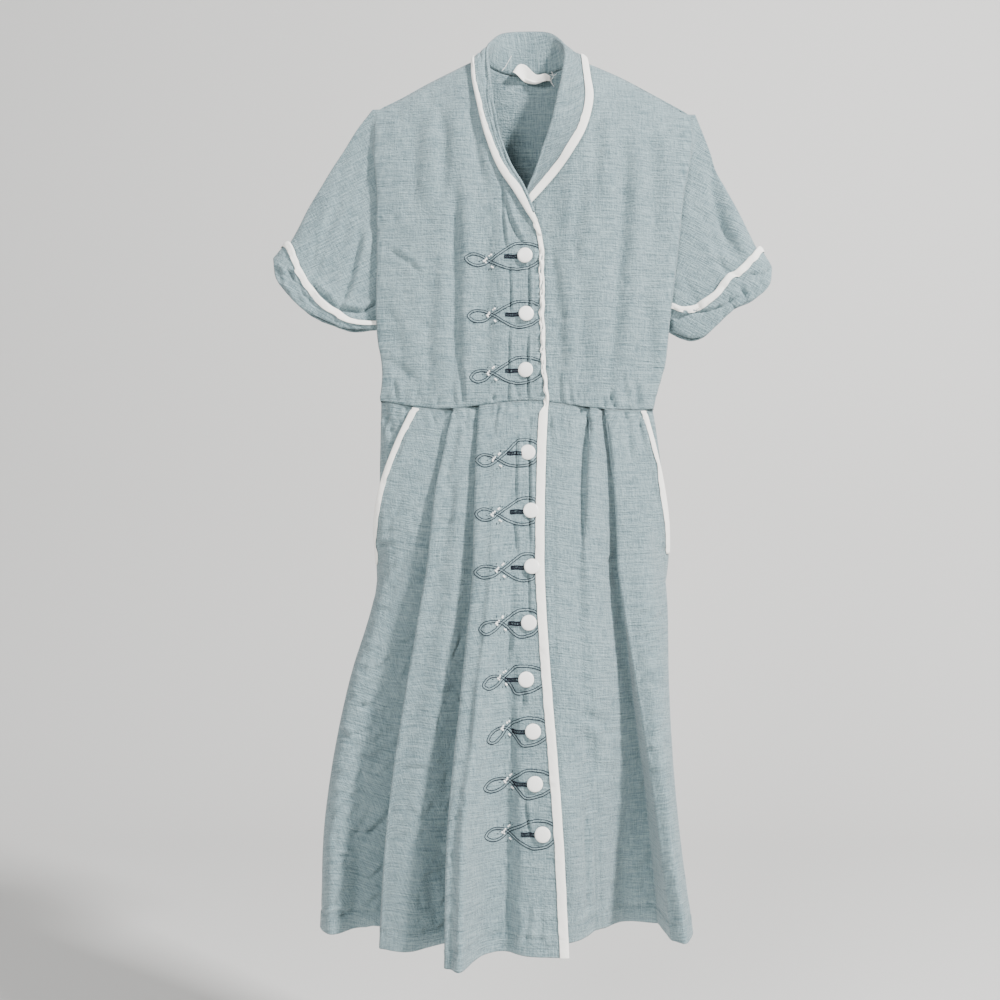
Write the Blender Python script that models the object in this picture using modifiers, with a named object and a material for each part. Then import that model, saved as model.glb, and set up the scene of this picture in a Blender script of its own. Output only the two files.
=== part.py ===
"""Shirtwaist dress with sleeves cut in one with the bodice, hanging flat by its shoulders.

Sizes are in millimetres and become metres as each mesh is made. +X is the wearer's left,
+Y the back and +Z up. The origin is midway between the shoulder ends, level with the neck.
Right and left are the wearer's, so side -1 is the right and side +1 the left.
"""
import math

import bmesh
import bpy
import numpy as np
from mathutils import Vector

MM = 0.001

# Cloth and seams
WALL = 1.3                    # thickness of the dress cloth
BINDING_WALL = 1.0            # thickness of the white binding
SEAM_GAP = 0.3                # left between two pieces at a seam
WAIST_GAP = 0.45              # the same at the curved waist seam
SEAM_HALF = WALL / 2 + SEAM_GAP / 2
BINDING_WIDTH = 9.5           # what shows of the binding
BINDING_BACK = 6.0            # what is turned to the wrong side
BINDING_OFF = WALL / 2 + SEAM_GAP + BINDING_WALL / 2
BENT_OFF = BINDING_OFF + 0.4  # the same where the edge winds round the collar or the hip

# Heights
WAIST = -450.0
HEM = -1110.0
UNDERARM = -305.0
FRONT_DEPTH = 40.5            # how far the bodice front stands forward at its centre
SIDE_DEPTH = 21.5             # and at the fold beside the sleeve
BACK_DEPTH = 31.0
BACK_SIDE_DEPTH = 20.0
SHOULDER_EASE = 55.0          # drop over which the cloth comes forward from the shoulder seam
# How far the left front lies behind the right front: height, distance
LAP = [(-450, 5.5), (-300, 6), (-235, 9), (-150, 9), (-60, 3), (20, 0)]

# Top outline of the shoulders, and the waist seam: x, z
SHOULDER_LINE = [(-214.5, -62.4), (-178, -45.5), (-135, -22), (-80.6, 4), (-68, 8),
                 (47, 9), (62.4, 4), (106.6, -14), (152, -37.7), (195, -61), (210.6, -69)]
WAIST_LINE = [(-205, -438), (-120, -449.5), (-8, -439.5), (90, -450), (165, -449.5)]
BACK_NECK = [(-68, 0.75, 8.0), (-62, 11, 2.4), (-42, 21, -4.4), (-10.5, 26, -7.4),
             (22, 21, -4.4), (42, 11, 2.4), (47, 0.75, 9.0)]

# Free edge of each front from the shoulder to the waist: x, z
FREE_EDGE = {
    "right": [(-68, 8), (-66, -20), (-62.5, -55), (-54.5, -95), (-40, -134), (-21.5, -166),
              (-2.5, -205), (6.5, -236), (9, -312), (10, -388), (14, -439)],
    "left": [(47, 9), (44.5, -22), (38, -55), (25.5, -95), (11.5, -134), (-1.5, -166),
             (-17, -196), (-30, -225), (-34, -312), (-34, -388), (-33, -440)],
}
# Fold of the body that lies over the sleeve, from the shoulder to the waist: x, z
SIDE_FOLD = {
    "right": [(-206, -58.5), (-208, -114), (-203.5, -168), (-203, -245), (-203, -348),
              (-196, -399), (-198.5, -438)],
    "left": [(203, -65), (201, -115), (189.5, -178), (184, -232), (175, -309), (170, -348),
             (163.5, -399), (154.5, -431), (151, -449)],
}
# Overarm fold from the shoulder corner to the cuff: x, z
OVERARM = {
    "right": [(-211, -60.8), (-231, -84.5), (-247, -110.5), (-264, -136.5), (-279.5, -162.5),
              (-295, -188.5), (-308, -214.5), (-322, -238), (-336, -253)],
    "left": [(207, -67.5), (226, -110.5), (234, -136.5), (248, -162.5), (262.5, -188.5),
             (275.5, -214.5), (288.5, -240.5), (303, -264)],
}
# Lower end of each sleeve, from the overarm to the underarm: x, z
SLEEVE_END = {
    "right": [(-336, -253), (-330.5, -279), (-313.5, -302.5), (-294.5, -319.5), (-263.5, -334.5),
              (-238, -342), (-201, -339.5)],
    "left": [(303, -264), (298, -288), (283, -302.5), (268, -309), (255, -316.5), (236, -334.5),
             (217.5, -351), (204.5, -354), (186, -348), (171, -340)],
}
# Width of the turned-up cuff, round from the overarm to the underarm
CUFF_WIDTH = {"right": [33, 33, 27, 21, 15, 13], "left": [31, 33, 33, 38, 34, 22]}
# How far the body's fold laps over the sleeve: share of the way to the underarm, lap
SLEEVE_LAP = [(0, 0), (0.2, 3), (0.4, 14), (0.7, 33), (1, 48)]
FLAT_HAIRPIN = (1.5, 0, -1.2, -2.4, -3.7, -5)   # the same stretch where nothing laps
SIDE_TUCK = 5.0               # what the side seam is turned in at the waist
ARMHOLE_DEPTH = [(0, 0.75), (0.12, 3.5), (0.35, 10), (0.6, 13), (0.85, 8), (1, 0.75)]
BACK_ARMHOLE = 0.72           # share of those depths on the back
CUFF_LIFT = 4.6               # how far the turned-up cuff stands off the sleeve
SLEEVE_BULGE = 21.0           # half the depth of the open sleeve end

# Skirt sections. A fold is (valley x, valley y, ridge x, ridge y): the cloth runs behind the
# ridge to the valley, and turns back out to the ridge. Other entries are x, y.
# Right front: height, edge at the pocket mouth or side seam, flank, panel, panel, fold,
# panel, fold, nose, band, band, band, free edge
SKIRT_RIGHT = [
    (-450, (-156, -31.5), (-143, -32.6), (-134, -33.1), (-122, -33.6), (-92, -31, -104, -37.5),
     (-82, -36), (-60, -34, -72, -40.5), (-52, -41), (-42, -41.2), (-27, -41.2), (-8, -41),
     (14, -41)),
    (-500, (-178.5, -34), (-165, -35.9), (-155, -36), (-138, -37), (-100, -34.5, -115, -43.5),
     (-88, -43.5), (-60, -41, -75, -51.5), (-53, -52.2), (-42, -52), (-26, -51.5), (-8, -51),
     (11, -51)),
    (-553, (-197.5, -33), (-185, -37.1), (-173, -39), (-152, -41), (-110, -39, -126, -51),
     (-94, -53), (-62, -50, -77, -63), (-55, -64), (-43, -63.5), (-26, -62), (-8, -61),
     (9, -61)),
    (-600, (-206, -25), (-196, -33), (-185, -37.5), (-163, -41), (-114, -41, -131, -58),
     (-96, -61.5), (-63, -56, -78, -74), (-56, -75.5), (-44, -73.5), (-28, -71), (-9, -70),
     (8, -70.5)),
    (-650, (-204.5, -10), (-197, -20.5), (-187, -32), (-170, -39), (-120, -42, -136, -64),
     (-100, -69), (-64, -62, -79, -84), (-57, -86.5), (-45, -83.5), (-29, -80), (-10, -79),
     (7.6, -80)),
    (-700, (-206, -1.5), (-209, -16), (-198, -32.5), (-180, -38.5), (-128.5, -40.5, -144, -69),
     (-106.5, -75), (-68.5, -66, -83, -93.5), (-61.5, -97), (-48, -91.5), (-31, -87),
     (-10.5, -86.5), (9.5, -87.5)),
    (-800, (-233, -1.5), (-239, -20), (-226, -38), (-200, -38), (-148, -36, -161, -78),
     (-122, -86), (-80, -72, -93, -112), (-73, -117), (-55, -105), (-35, -97), (-12, -99),
     (16, -101)),
    (-960, (-261, -0.75), (-268, -25), (-252, -46), (-222, -37), (-180, -33, -183, -92),
     (-146, -101), (-100, -80, -108, -142), (-90, -152), (-64, -119), (-38, -104), (-14, -114),
     (28, -120)),
    (-1110, (-268, -0.75), (-275, -25), (-257, -57), (-229, -32), (-198, -27, -191, -103),
     (-160, -115), (-104, -84, -110, -166), (-94, -179), (-66, -122), (-41, -109), (-16, -127),
     (35, -133)),
]
# Left front: height, free edge, under the band, beside the binding, panel, fold, panel, fold,
# panel, panel, flank, edge at the pocket mouth or side seam
SKIRT_LEFT = [
    (-450, (-33, -35.3), (0, -35.5), (28, -37), (50, -38.2), (74, -31.5, 67.5, -37.8),
     (81, -34), (99, -29.5, 88, -35.8), (108, -33.6), (117, -31.9), (126, -29.8), (139.6, -28)),
    (-500, (-33, -44.5), (0, -45.5), (25, -48.5), (45, -48.5), (70, -42, 65.5, -48.5),
     (81, -43.5), (104, -36, 93.5, -43.5), (115, -41), (127, -38), (139, -34.6), (152.5, -32)),
    (-553, (-33, -55), (0, -55.5), (24, -58.5), (43, -57.5), (65, -51, 63.5, -56.5),
     (81, -50), (109, -40, 99, -51), (121, -48.5), (137, -42.5), (151, -36), (163.5, -31)),
    (-600, (-33, -64), (0, -64.5), (24, -67), (42, -65), (60, -59, 60, -62.5), (80, -55),
     (110, -41, 101.5, -55), (123, -53), (143, -46), (160, -32.5), (170, -24)),
    (-650, (-33, -73), (0, -73.5), (24, -75), (42, -72), (55, -67, 60.5, -69.5), (79, -60),
     (109, -39, 103, -59), (123, -58), (146, -47), (164.5, -20), (171, -10)),
    (-700, (-31.5, -80), (1, -80.5), (25.5, -81.5), (43.5, -78), (55.5, -73.5, 62, -74), (82, -62),
     (112, -38, 109.5, -62.5), (127, -63), (148.5, -52), (169, -20), (164.5, -1.5)),
    (-800, (-27, -92), (4, -93), (30, -93), (48, -88), (60, -80.5, 67, -78), (91, -61),
     (122, -36, 126, -68), (139, -72), (154, -64), (169, -36), (162, -1.5)),
    (-960, (-17, -108), (12, -109), (36, -105), (56, -88), (72, -73, 76, -69), (105, -42),
     (143, -26, 149, -76), (162, -81), (172, -66), (179, -36), (171, -0.75)),
    (-1110, (-8, -92), (18, -90), (44, -82), (63, -62), (78, -40, 83, -34), (113, -7),
     (158, -16, 168, -78), (181, -89), (191, -68), (198, -36), (188, -0.75)),
]
# Back, from the right side seam to the left: height and fourteen x, y
SKIRT_BACK = [
    (-450, (-193.5, 0.75), (-198.5, 8), (-186, 18), (-160, 22), (-130, 26), (-95, 28), (-60, 30),
     (-22, 31), (15, 30.5), (50, 29), (85, 26), (118, 21), (151, 6), (146, 0.75)),
    (-553, (-194, 0.75), (-200, 8), (-185, 24), (-160, 24), (-128, 33), (-95, 29), (-60, 38),
     (-22, 32), (16, 38), (52, 30), (88, 34), (122, 27), (166, 8), (160, 0.75)),
    (-700, (-205, 0.75), (-210, 10), (-196, 32), (-170, 25), (-136, 42), (-98, 27), (-60, 48),
     (-20, 29), (20, 46), (58, 27), (96, 42), (130, 30), (169, 9), (164.5, 0.75)),
    (-800, (-233, 0.75), (-238, 11.5), (-214, 36), (-180, 25), (-142, 46), (-101, 26.5), (-60, 52.5),
     (-18, 28.5), (25, 49.5), (65, 26.5), (103.5, 45), (136.5, 31), (170, 10), (162, 0.75)),
    (-960, (-261, 0.75), (-267.5, 14), (-240, 42), (-196, 24), (-152, 51), (-106, 26), (-60, 57),
     (-14, 28), (34, 54), (78, 26), (118, 48), (150, 31), (178, 11), (171, 0.75)),
    (-1110, (-268, 0.75), (-275, 15), (-250, 48), (-205, 22), (-160, 56), (-110, 24), (-60, 60),
     (-10, 26), (40, 58), (90, 24), (135, 52), (170, 30), (198, 12), (188, 0.75)),
]
# Hip pieces: height, side seam, flank and four points inward behind the skirt front
HIP_RIGHT = [
    (-450, (-193, -0.75), (-198.5, -10), (-192, -21.5), (-175, -26), (-156, -26.5), (-130, -27)),
    (-500, (-193.5, -0.75), (-199.5, -9), (-191, -22), (-178, -25), (-155, -27), (-132, -29)),
    (-553, (-194, -0.75), (-200.5, -9), (-190, -22), (-176, -27), (-155, -31), (-134, -34)),
    (-600, (-195.5, -0.75), (-200, -8), (-188, -20), (-172, -28), (-153, -32), (-137, -35)),
    (-640, (-194, -3), (-197, -9), (-186, -20), (-172, -27), (-156, -31), (-141, -34)),
]
HIP_LEFT = [
    (-450, (146, -0.75), (151.5, -10), (147, -20), (138, -23.5), (126, -25.5), (112, -26.5)),
    (-500, (153.5, -0.75), (159, -9), (153, -21), (143, -26), (129, -29), (115, -31)),
    (-553, (160, -0.75), (165, -9), (158, -21), (147, -28), (134, -32), (121, -36)),
    (-600, (161, -0.75), (165.5, -8), (157, -20), (146, -29), (134, -35), (122, -39)),
    (-640, (159, -3), (163, -9), (155, -20), (146, -28), (136, -33), (125, -38)),
]
HIP_END = -640.0
MOUTH_END = -635.0            # where the binding of the pocket mouth ends
COLLAR_END = -212.0           # where the collar's binding passes into the front edge's

# Collar stations from the right front round the neck to the left front: the seam, the roll
# and the bound edge, each x, y, z. None stands for the depth of the bodice front there.
COLLAR = [
    ((-5, None, -202), (-1.8, None, -201), (-10, None, -202.5)),
    ((-18, None, -173), (-13.5, None, -171), (-25.7, None, -176.5)),
    ((-38, None, -139), (-33, None, -136.5), (-47.5, None, -143)),
    ((-53, None, -99), (-46.8, None, -97), (-63.5, None, -101)),
    ((-62.5, None, -57), (-54.5, None, -55), (-73.5, None, -59)),
    ((-66, None, -22), (-58.5, None, -14), (-80.5, None, -20)),
    ((-68, -0.5, 9.7), (-61, -1, 21), (-80.5, -3, 8)),
    ((-62, 11, 3.1), (-54, 10, 36), (-76, 18, 4)),
    ((-42, 21, -3.7), (-43, 20, 48), (-54, 33, -4)),
    ((-10.5, 26, -6.7), (-12.5, 26, 53), (-10.5, 39, -10)),
    ((22, 21, -3.7), (20, 20, 49), (34, 33, -5)),
    ((42, 11, 3.1), (32, 10, 36), (58, 19, 5)),
    ((47, -0.5, 10.7), (37.5, -2, 20), (65, -3, 9)),
    ((44.3, None, -24), (35, None, -12), (69.5, None, -22)),
    ((37.5, None, -57), (29, None, -42), (72, None, -52)),
    ((28.5, None, -87), (20.5, None, -80.4), (62, None, -93)),
    ((17.5, None, -118), (10.2, None, -112.4), (45.5, None, -123)),
    ((8, None, -142), (1.3, None, -139.3), (27.5, None, -148)),
    ((-2.7, None, -168), (-8.8, None, -164.3), (8.5, None, -170)),
    ((-15.5, None, -193), (-22, None, -191), (-10.5, None, -191)),
]
COLLAR_ROLL = 1.8             # half the height of the fold along the roll
COLLAR_LIFT = 4.6             # how far the fall stands off the front
COLLAR_SEAM_GAP = 0.9
COLLAR_SHOULDER = 7           # stations before the left half begins

# Label: corners on the inside of the back neck
LABEL = {"left": -29, "right": 21, "top": 12, "bottom": -10, "curl": 6, "wall": 1.0}

# Buttons: x, z of each centre
BUTTONS = [(-13.8, -256.5), (-12.6, -330), (-12.6, -401), (-10.3, -506), (-6.9, -579),
           (-6, -648), (-9.9, -716), (-13.8, -784), (-5.5, -846), (-3.3, -908), (6.1, -967)]
BUTTON_RADIUS = 9.6
BUTTON_EDGE = 1.6             # height of the straight rim
BUTTON_DOME = 1.6             # rise of the crown above the rim
SHANK_RADIUS = 3.0
SHANK_HEIGHT = 1.5

# Points across and down
BODY_COLUMNS = 12
SHOULDER_COLUMNS = 6
UPPER_ROWS = 9
LOWER_ROWS = 4
SLEEVE_COLUMNS = [0, 0.035, 0.15, 0.32, 0.52, 0.75, 1.0]
# Drops of the skirt front's rows below the waist, closer beside the pocket mouths
SKIRT_DROPS = [0, 3, 25, 50, 72, 92, 110, 127, 144, 161, 178, 195, 235, 285, 345, 415, 490, 570, 660]
WIDE_STRETCH = 30.0           # a stretch of a section longer than this has two steps
COLLAR_STEPS = [2, 2, 2, 2, 2, 3, 3, 3, 2, 2, 3, 3, 3, 2, 2, 2, 2, 2, 1]
BUTTON_SIDES = 12

CLOTH = (0.39, 0.47, 0.485)
WHITE = (0.90, 0.87, 0.80)
PEARL = (0.88, 0.87, 0.80)


def material(name, colour, roughness):
    """Plain finish for one kind of piece."""
    made = bpy.data.materials.new(name)
    made.use_nodes = True
    shader = made.node_tree.nodes["Principled BSDF"]
    shader.inputs["Base Color"].default_value = (*colour, 1)
    shader.inputs["Roughness"].default_value = roughness
    shader.inputs["Metallic"].default_value = 0
    return made


def unit(vectors):
    """Vectors of length one along the last axis."""
    vectors = np.asarray(vectors, float)
    return vectors / np.maximum(np.linalg.norm(vectors, axis=-1, keepdims=True), 1e-9)


def smooth(value):
    """Eased step from 0 to 1."""
    value = np.clip(value, 0, 1)
    return value * value * (3 - 2 * value)


def hermite(knots, values, at):
    """Smooth curve through values at rising knots, read at one place."""
    knots = np.asarray(knots, float)
    values = np.asarray(values, float)
    at = min(max(at, knots[0]), knots[-1])
    index = int(np.clip(np.searchsorted(knots, at) - 1, 0, len(knots) - 2))
    rise = np.diff(values, axis=0) / np.diff(knots).reshape((-1,) + (1,) * (values.ndim - 1))

    def slope(i):
        if i == 0:
            return rise[0]
        if i == len(knots) - 1:
            return rise[-1]
        return (rise[i - 1] + rise[i]) / 2

    span = knots[index + 1] - knots[index]
    t = (at - knots[index]) / span
    return ((2 * t**3 - 3 * t**2 + 1) * values[index] + (t**3 - 2 * t**2 + t) * span * slope(index)
            + (3 * t**2 - 2 * t**3) * values[index + 1] + (t**3 - t**2) * span * slope(index + 1))


def through(points, steps):
    """Centripetal curve through the points, with a number of steps for each stretch."""
    points = np.asarray(points, float)
    steps = [steps] * (len(points) - 1) if np.isscalar(steps) else steps
    ends = np.vstack([2 * points[0] - points[1], points, 2 * points[-1] - points[-2]])
    gaps = np.maximum(np.linalg.norm(np.diff(ends, axis=0), axis=1), 1e-6) ** 0.5
    knots = np.concatenate([[0], np.cumsum(gaps)])
    curve = []
    for i, count in enumerate(steps):
        p0, p1, p2, p3 = ends[i:i + 4]
        t0, t1, t2, t3 = knots[i:i + 4]
        for t in np.linspace(t1, t2, count, endpoint=False):
            a1 = ((t1 - t) * p0 + (t - t0) * p1) / (t1 - t0)
            a2 = ((t2 - t) * p1 + (t - t1) * p2) / (t2 - t1)
            a3 = ((t3 - t) * p2 + (t - t2) * p3) / (t3 - t2)
            b1 = ((t2 - t) * a1 + (t - t0) * a2) / (t2 - t0)
            b2 = ((t3 - t) * a2 + (t - t1) * a3) / (t3 - t1)
            curve.append(((t2 - t) * b1 + (t - t1) * b2) / (t2 - t1))
    curve.append(points[-1])
    return np.array(curve)


def along(points, shares):
    """Points at the given shares of a smooth line's length."""
    line = through(points, 8)
    length = np.concatenate([[0], np.cumsum(np.linalg.norm(np.diff(line, axis=0), axis=1))])
    wanted = np.asarray(shares, float) * length[-1]
    return np.stack([np.interp(wanted, length, line[:, k]) for k in range(line.shape[1])], axis=-1)


def x_at(points, z):
    """The x of a line of x, z that runs downwards, at a height."""
    line = through(points, 8)
    return float(np.interp(-z, -line[:, 1], line[:, 0]))


def z_at(points, x):
    """The z of a line of x, z that runs across, at an x."""
    line = through(points, 6)
    return float(np.interp(x, line[:, 0], line[:, 1]))


def chest(side, x, z):
    """Depth of the bodice front: it comes forward below the shoulder seam."""
    centre = -3.0
    fold = x_at(SIDE_FOLD[side], z)
    share = np.clip((x - centre) / (fold - centre), 0, 1.1)
    full = FRONT_DEPTH - (FRONT_DEPTH - SIDE_DEPTH) * share**2.2
    drop = max(z_at(SHOULDER_LINE, x) - z, 0)
    depth = -(SEAM_HALF + full * (1 - math.exp(-drop / SHOULDER_EASE)))
    if side == "right":
        return depth
    lap = float(np.interp(z, *zip(*LAP)))
    return depth + lap * (1 - float(smooth((x - 18) / 32)))


def back_depth(x, z, top):
    """Depth of the bodice back below a point of its top edge."""
    share = abs(x + 10) / 200
    full = BACK_DEPTH - (BACK_DEPTH - BACK_SIDE_DEPTH) * min(share, 1.05)**2.2
    drop = max(top[2] - z, 0)
    return top[1] + (full - top[1]) * (1 - math.exp(-drop / SHOULDER_EASE))


def row_shares():
    """Each body row as (share of the way to the underarm, share from there to the waist)."""
    upper = [(r / (UPPER_ROWS - 1), 0.0) for r in range(UPPER_ROWS)]
    lower = [(1.0, r / LOWER_ROWS) for r in range(1, LOWER_ROWS)]
    stiff = 1 - 3.0 / (UNDERARM - WAIST)
    return upper + lower + [(1.0, stiff), (1.0, 1.0)]


def level(top, waist, shares):
    """Height of a row at one end, from its top and its waist."""
    upper, lower = shares
    return top + (UNDERARM - top) * upper if upper < 1 else UNDERARM + (waist - UNDERARM) * lower


def side_hairpin(side, shares, depth, layers):
    """Fold over the sleeve and the tuck behind it, for one row: points x, y, z.

    layers is +1 on the front, where the tuck lies towards the back, and -1 on the back.
    """
    upper, lower = shares
    fold_line = SIDE_FOLD[side]
    waist = z_at(WAIST_LINE, fold_line[-1][0]) + WAIST_GAP / 2
    z = level(fold_line[0][1], waist, shares)
    x = x_at(fold_line, z)
    inward = 1 if side == "right" else -1
    if upper < 1:
        lap = float(hermite(*zip(*SLEEVE_LAP), upper))
    else:
        lap = SLEEVE_LAP[-1][1] + (SIDE_TUCK - SLEEVE_LAP[-1][1]) * lower
    behind = SEAM_HALF
    if upper < 1:
        behind = float(hermite(*zip(*ARMHOLE_DEPTH), upper))
        behind = behind if layers > 0 else SEAM_HALF + (behind - SEAM_HALF) * BACK_ARMHOLE
    turn = min(1.8, max(0.0, (abs(depth) - behind) / 4))
    tuck = depth + layers * 2 * turn
    valley = -layers * behind
    lapped = float(smooth(lap / 12))
    folded = (1.5, -0.2, 1.5, lap * 0.6, lap * 0.92, lap)
    depths = (depth, (depth + tuck) / 2, tuck, tuck * 0.8 + valley * 0.2,
              tuck * 0.4 + valley * 0.6, valley)
    return [(x + inward * (flat + (fold - flat) * lapped), y, z)
            for flat, fold, y in zip(FLAT_HAIRPIN, folded, depths)]


def sleeve(side, armhole, layers):
    """Sleeve half as rows from the overarm to the underarm, columns from armhole to cuff."""
    count = len(armhole)
    shares = np.linspace(0, 1, count)
    across = np.array(SLEEVE_COLUMNS)
    seam = -layers * SEAM_HALF
    inward = 1 if side == "right" else -1
    top = along([armhole[0][[0, 2]]] + OVERARM[side][1:], across)
    round_shares = (1 - np.cos(np.pi * shares)) / 2
    end = along(SLEEVE_END[side], round_shares)
    low = along([armhole[-1][[0, 2]], end[-1]], across)
    top = np.stack([top[:, 0], np.full(len(across), seam), top[:, 1]], axis=-1)
    low = np.stack([low[:, 0], np.full(len(across), seam), low[:, 1]], axis=-1)
    bulge = seam - layers * SLEEVE_BULGE * np.sin(np.pi * shares) * (1 - 0.4 * shares)
    end = np.stack([end[:, 0], bulge, end[:, 1]], axis=-1)
    u = across[None, :, None]
    v = shares[:, None, None]
    patch = ((1 - u) * armhole[:, None] + u * end[:, None] + (1 - v) * top[None] + v * low[None]
             - (1 - u) * (1 - v) * top[0] - u * (1 - v) * top[-1]
             - (1 - u) * v * low[0] - u * v * low[-1])
    lift = smooth(across / 0.035) * (1 - smooth((across - 0.05) / 0.4))
    rows = smooth(shares / 0.35) * np.sin(np.pi * shares)
    patch[:, :, 1] += layers * 1.8 * rows[:, None] * lift[None, :]
    return patch


def front_patches(side):
    """Body and sleeve of one bodice front, as grids of points."""
    edge_line, fold_line = FREE_EDGE[side], SIDE_FOLD[side]
    outward = -1 if side == "right" else 1

    def across(z_edge, z_fold):
        x_edge = x_at(edge_line, z_edge)
        x_last = x_at(fold_line, z_fold) - outward * 10
        inner = x_edge + outward * BINDING_WIDTH
        places = np.concatenate([[x_edge], np.linspace(inner, x_last, BODY_COLUMNS - 1)])
        return places, (places - x_edge) / (x_last - x_edge)

    def bowed(line, gap, places, spread, z_edge, z_fold):
        bow = np.array([z_at(line, x) + gap for x in places]) - z_edge - (z_fold - z_edge) * spread
        return bow - bow[0] - (bow[-1] - bow[0]) * spread

    waist = z_at(WAIST_LINE, edge_line[-1][0]) + WAIST_GAP / 2
    top, low = (edge_line[0][1], fold_line[0][1]), (waist, fold_line[-1][1])
    shoulder_bow = bowed(SHOULDER_LINE, 0, *across(*top), *top)
    waist_bow = bowed(WAIST_LINE, WAIST_GAP / 2, *across(*low), *low)
    rows = []
    for shares in row_shares():
        z_edge = level(edge_line[0][1], waist, shares)
        z_fold = level(fold_line[0][1], fold_line[-1][1], shares)
        places, spread = across(z_edge, z_fold)
        heights = (z_edge + (z_fold - z_edge) * spread + shoulder_bow * (1 - shares[0]) ** 3
                   + waist_bow * shares[1] ** 3)
        row = [(x, chest(side, x, z), z) for x, z in zip(places, heights)]
        rows.append(row + side_hairpin(side, shares, chest(side, x_at(fold_line, z_fold), z_fold), 1))
    body = np.array(rows)
    settle_waist(body)
    return body, sleeve(side, body[:UPPER_ROWS, -1], 1)


def settle_waist(body):
    """The last two rows stand upright, so that the seam meets the skirt squarely."""
    body[-2, :, :2] = body[-1, :, :2]
    body[-1, :, 2] = [z_at(WAIST_LINE, x) + WAIST_GAP / 2 for x in body[-1, :, 0]]
    body[-2, :, 2] = body[-1, :, 2] + 3.0


def back_patches():
    """Body and both sleeve backs, as grids of points from the right side to the left."""
    neck_right = np.array(BACK_NECK[0])
    neck_left = np.array(BACK_NECK[-1])
    tops = []
    for share in np.linspace(0, 1, SHOULDER_COLUMNS)[:-1]:
        x = -196 + (neck_right[0] + 196) * share
        tops.append((x, SEAM_HALF, z_at(SHOULDER_LINE, x)))
    tops += [tuple(p) for p in through(BACK_NECK, 1)]
    for share in np.linspace(0, 1, SHOULDER_COLUMNS)[1:]:
        x = neck_left[0] + (193 - neck_left[0]) * share
        tops.append((x, SEAM_HALF, z_at(SHOULDER_LINE, x)))
    rows = []
    for shares in row_shares():
        z_right = level(SIDE_FOLD["right"][0][1], SIDE_FOLD["right"][-1][1], shares)
        z_left = level(SIDE_FOLD["left"][0][1], SIDE_FOLD["left"][-1][1], shares)
        x_right = x_at(SIDE_FOLD["right"], z_right) + 10
        x_left = x_at(SIDE_FOLD["left"], z_left) - 10
        row = []
        for top in tops:
            share = (top[0] + 196) / (193 + 196)
            x = x_right + (x_left - x_right) * share
            waist = z_at(WAIST_LINE, x) + WAIST_GAP / 2
            upper, lower = shares
            even = top[2] + (UNDERARM - top[2]) * upper
            z = even if upper < 1 else UNDERARM + (waist - UNDERARM) * lower
            row.append((x, back_depth(x, z, top), z))
        right = side_hairpin("right", shares, back_depth(x_right - 10, z_right, tops[0]), -1)
        left = side_hairpin("left", shares, back_depth(x_left + 10, z_left, tops[-1]), -1)
        rows.append(right[::-1] + row + left)
    body = np.array(rows)
    settle_waist(body)
    return (body, sleeve("right", body[:UPPER_ROWS, 0], -1),
            sleeve("left", body[:UPPER_ROWS, -1], -1))


def expand(section):
    """Key points of one skirt section: each fold as its two turns and a point either side."""
    points = []
    for entry in section:
        if len(entry) == 2:
            points.append(entry)
            continue
        valley, ridge = np.array(entry[:2], float), np.array(entry[2:], float)
        turn = min(7.0, 0.45 * (valley[1] - ridge[1]))
        open_share = float(smooth((ridge[0] - valley[0]) / 4))
        behind = valley - (0, turn) + (valley * 0.67 + ridge * 0.33 - valley + (0, turn)) * open_share
        front = ridge + (0, turn) + (valley * 0.33 + ridge * 0.67 - ridge - (0, turn)) * open_share
        points += [(min(valley[0], ridge[0]) - 2.5, valley[1]), valley, behind, front, ridge,
                   (max(valley[0], ridge[0]) + 2.5, ridge[1])]
    return points


def stretch_steps(sections):
    """Steps for each stretch between key points: two for the turn of a ridge and for wide panels."""
    keys = np.array([expand(section[1:]) for section in sections])
    widest = np.linalg.norm(np.diff(keys, axis=1), axis=2).max(axis=0)
    steps = [2 if length > WIDE_STRETCH else 1 for length in widest]
    at = 0
    for entry in sections[0][1:]:
        if len(entry) == 4:
            steps[at + 1:at + 4] = [1, 1, 2]
        at += 6 if len(entry) == 4 else 1
    return steps


def skirt_rows(lowest, rows):
    """Drops below the waist: one just under the seam, then wider and wider apart."""
    spread = [(WAIST - lowest) * (r / rows) ** 1.35 for r in range(rows + 1)]
    return [spread[0], spread[0] + 3.0] + spread[1:]


def skirt_patch(sections, drops, inset=()):
    """Grid of points from a table of sections; inset ends get a column one binding in."""
    knots = [-section[0] for section in sections]
    keys = [expand(section[1:]) for section in sections]
    steps = stretch_steps(sections)
    grid = []
    for drop in drops:
        z = WAIST - drop
        points = hermite(knots, keys, drop - WAIST if drop > 5 else -WAIST)
        counts = list(steps)
        if "last" in inset:
            back = inset_point(points[-1], points[-2])
            points = np.vstack([points[:-1], back, points[-1]])
            counts = counts + [1]
        if "first" in inset:
            points = np.vstack([points[0], inset_point(points[0], points[1]), points[1:]])
            counts = [1] + counts
        line = through(points, counts)
        sink = max(0.0, 1 - drop / 200)
        heights = [z + (z_at(WAIST_LINE, x) - WAIST_GAP / 2 - WAIST) * sink for x in line[:, 0]]
        grid.append(np.column_stack([line, heights]))
    return np.array(grid)


def inset_point(edge, inner):
    """Point one binding in from an edge, or three quarters of the way to the next point."""
    reach = np.linalg.norm(inner - edge)
    return edge + (inner - edge) / reach * min(BINDING_WIDTH, 0.75 * reach)


def outward_normals(grid, facing):
    """Unit normal at each point of a grid, turned so that most of them face a direction."""
    normals = unit(np.cross(np.gradient(grid, axis=1), np.gradient(grid, axis=0)))
    return normals if np.sum(normals @ np.array(facing, float)) > 0 else -normals


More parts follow.
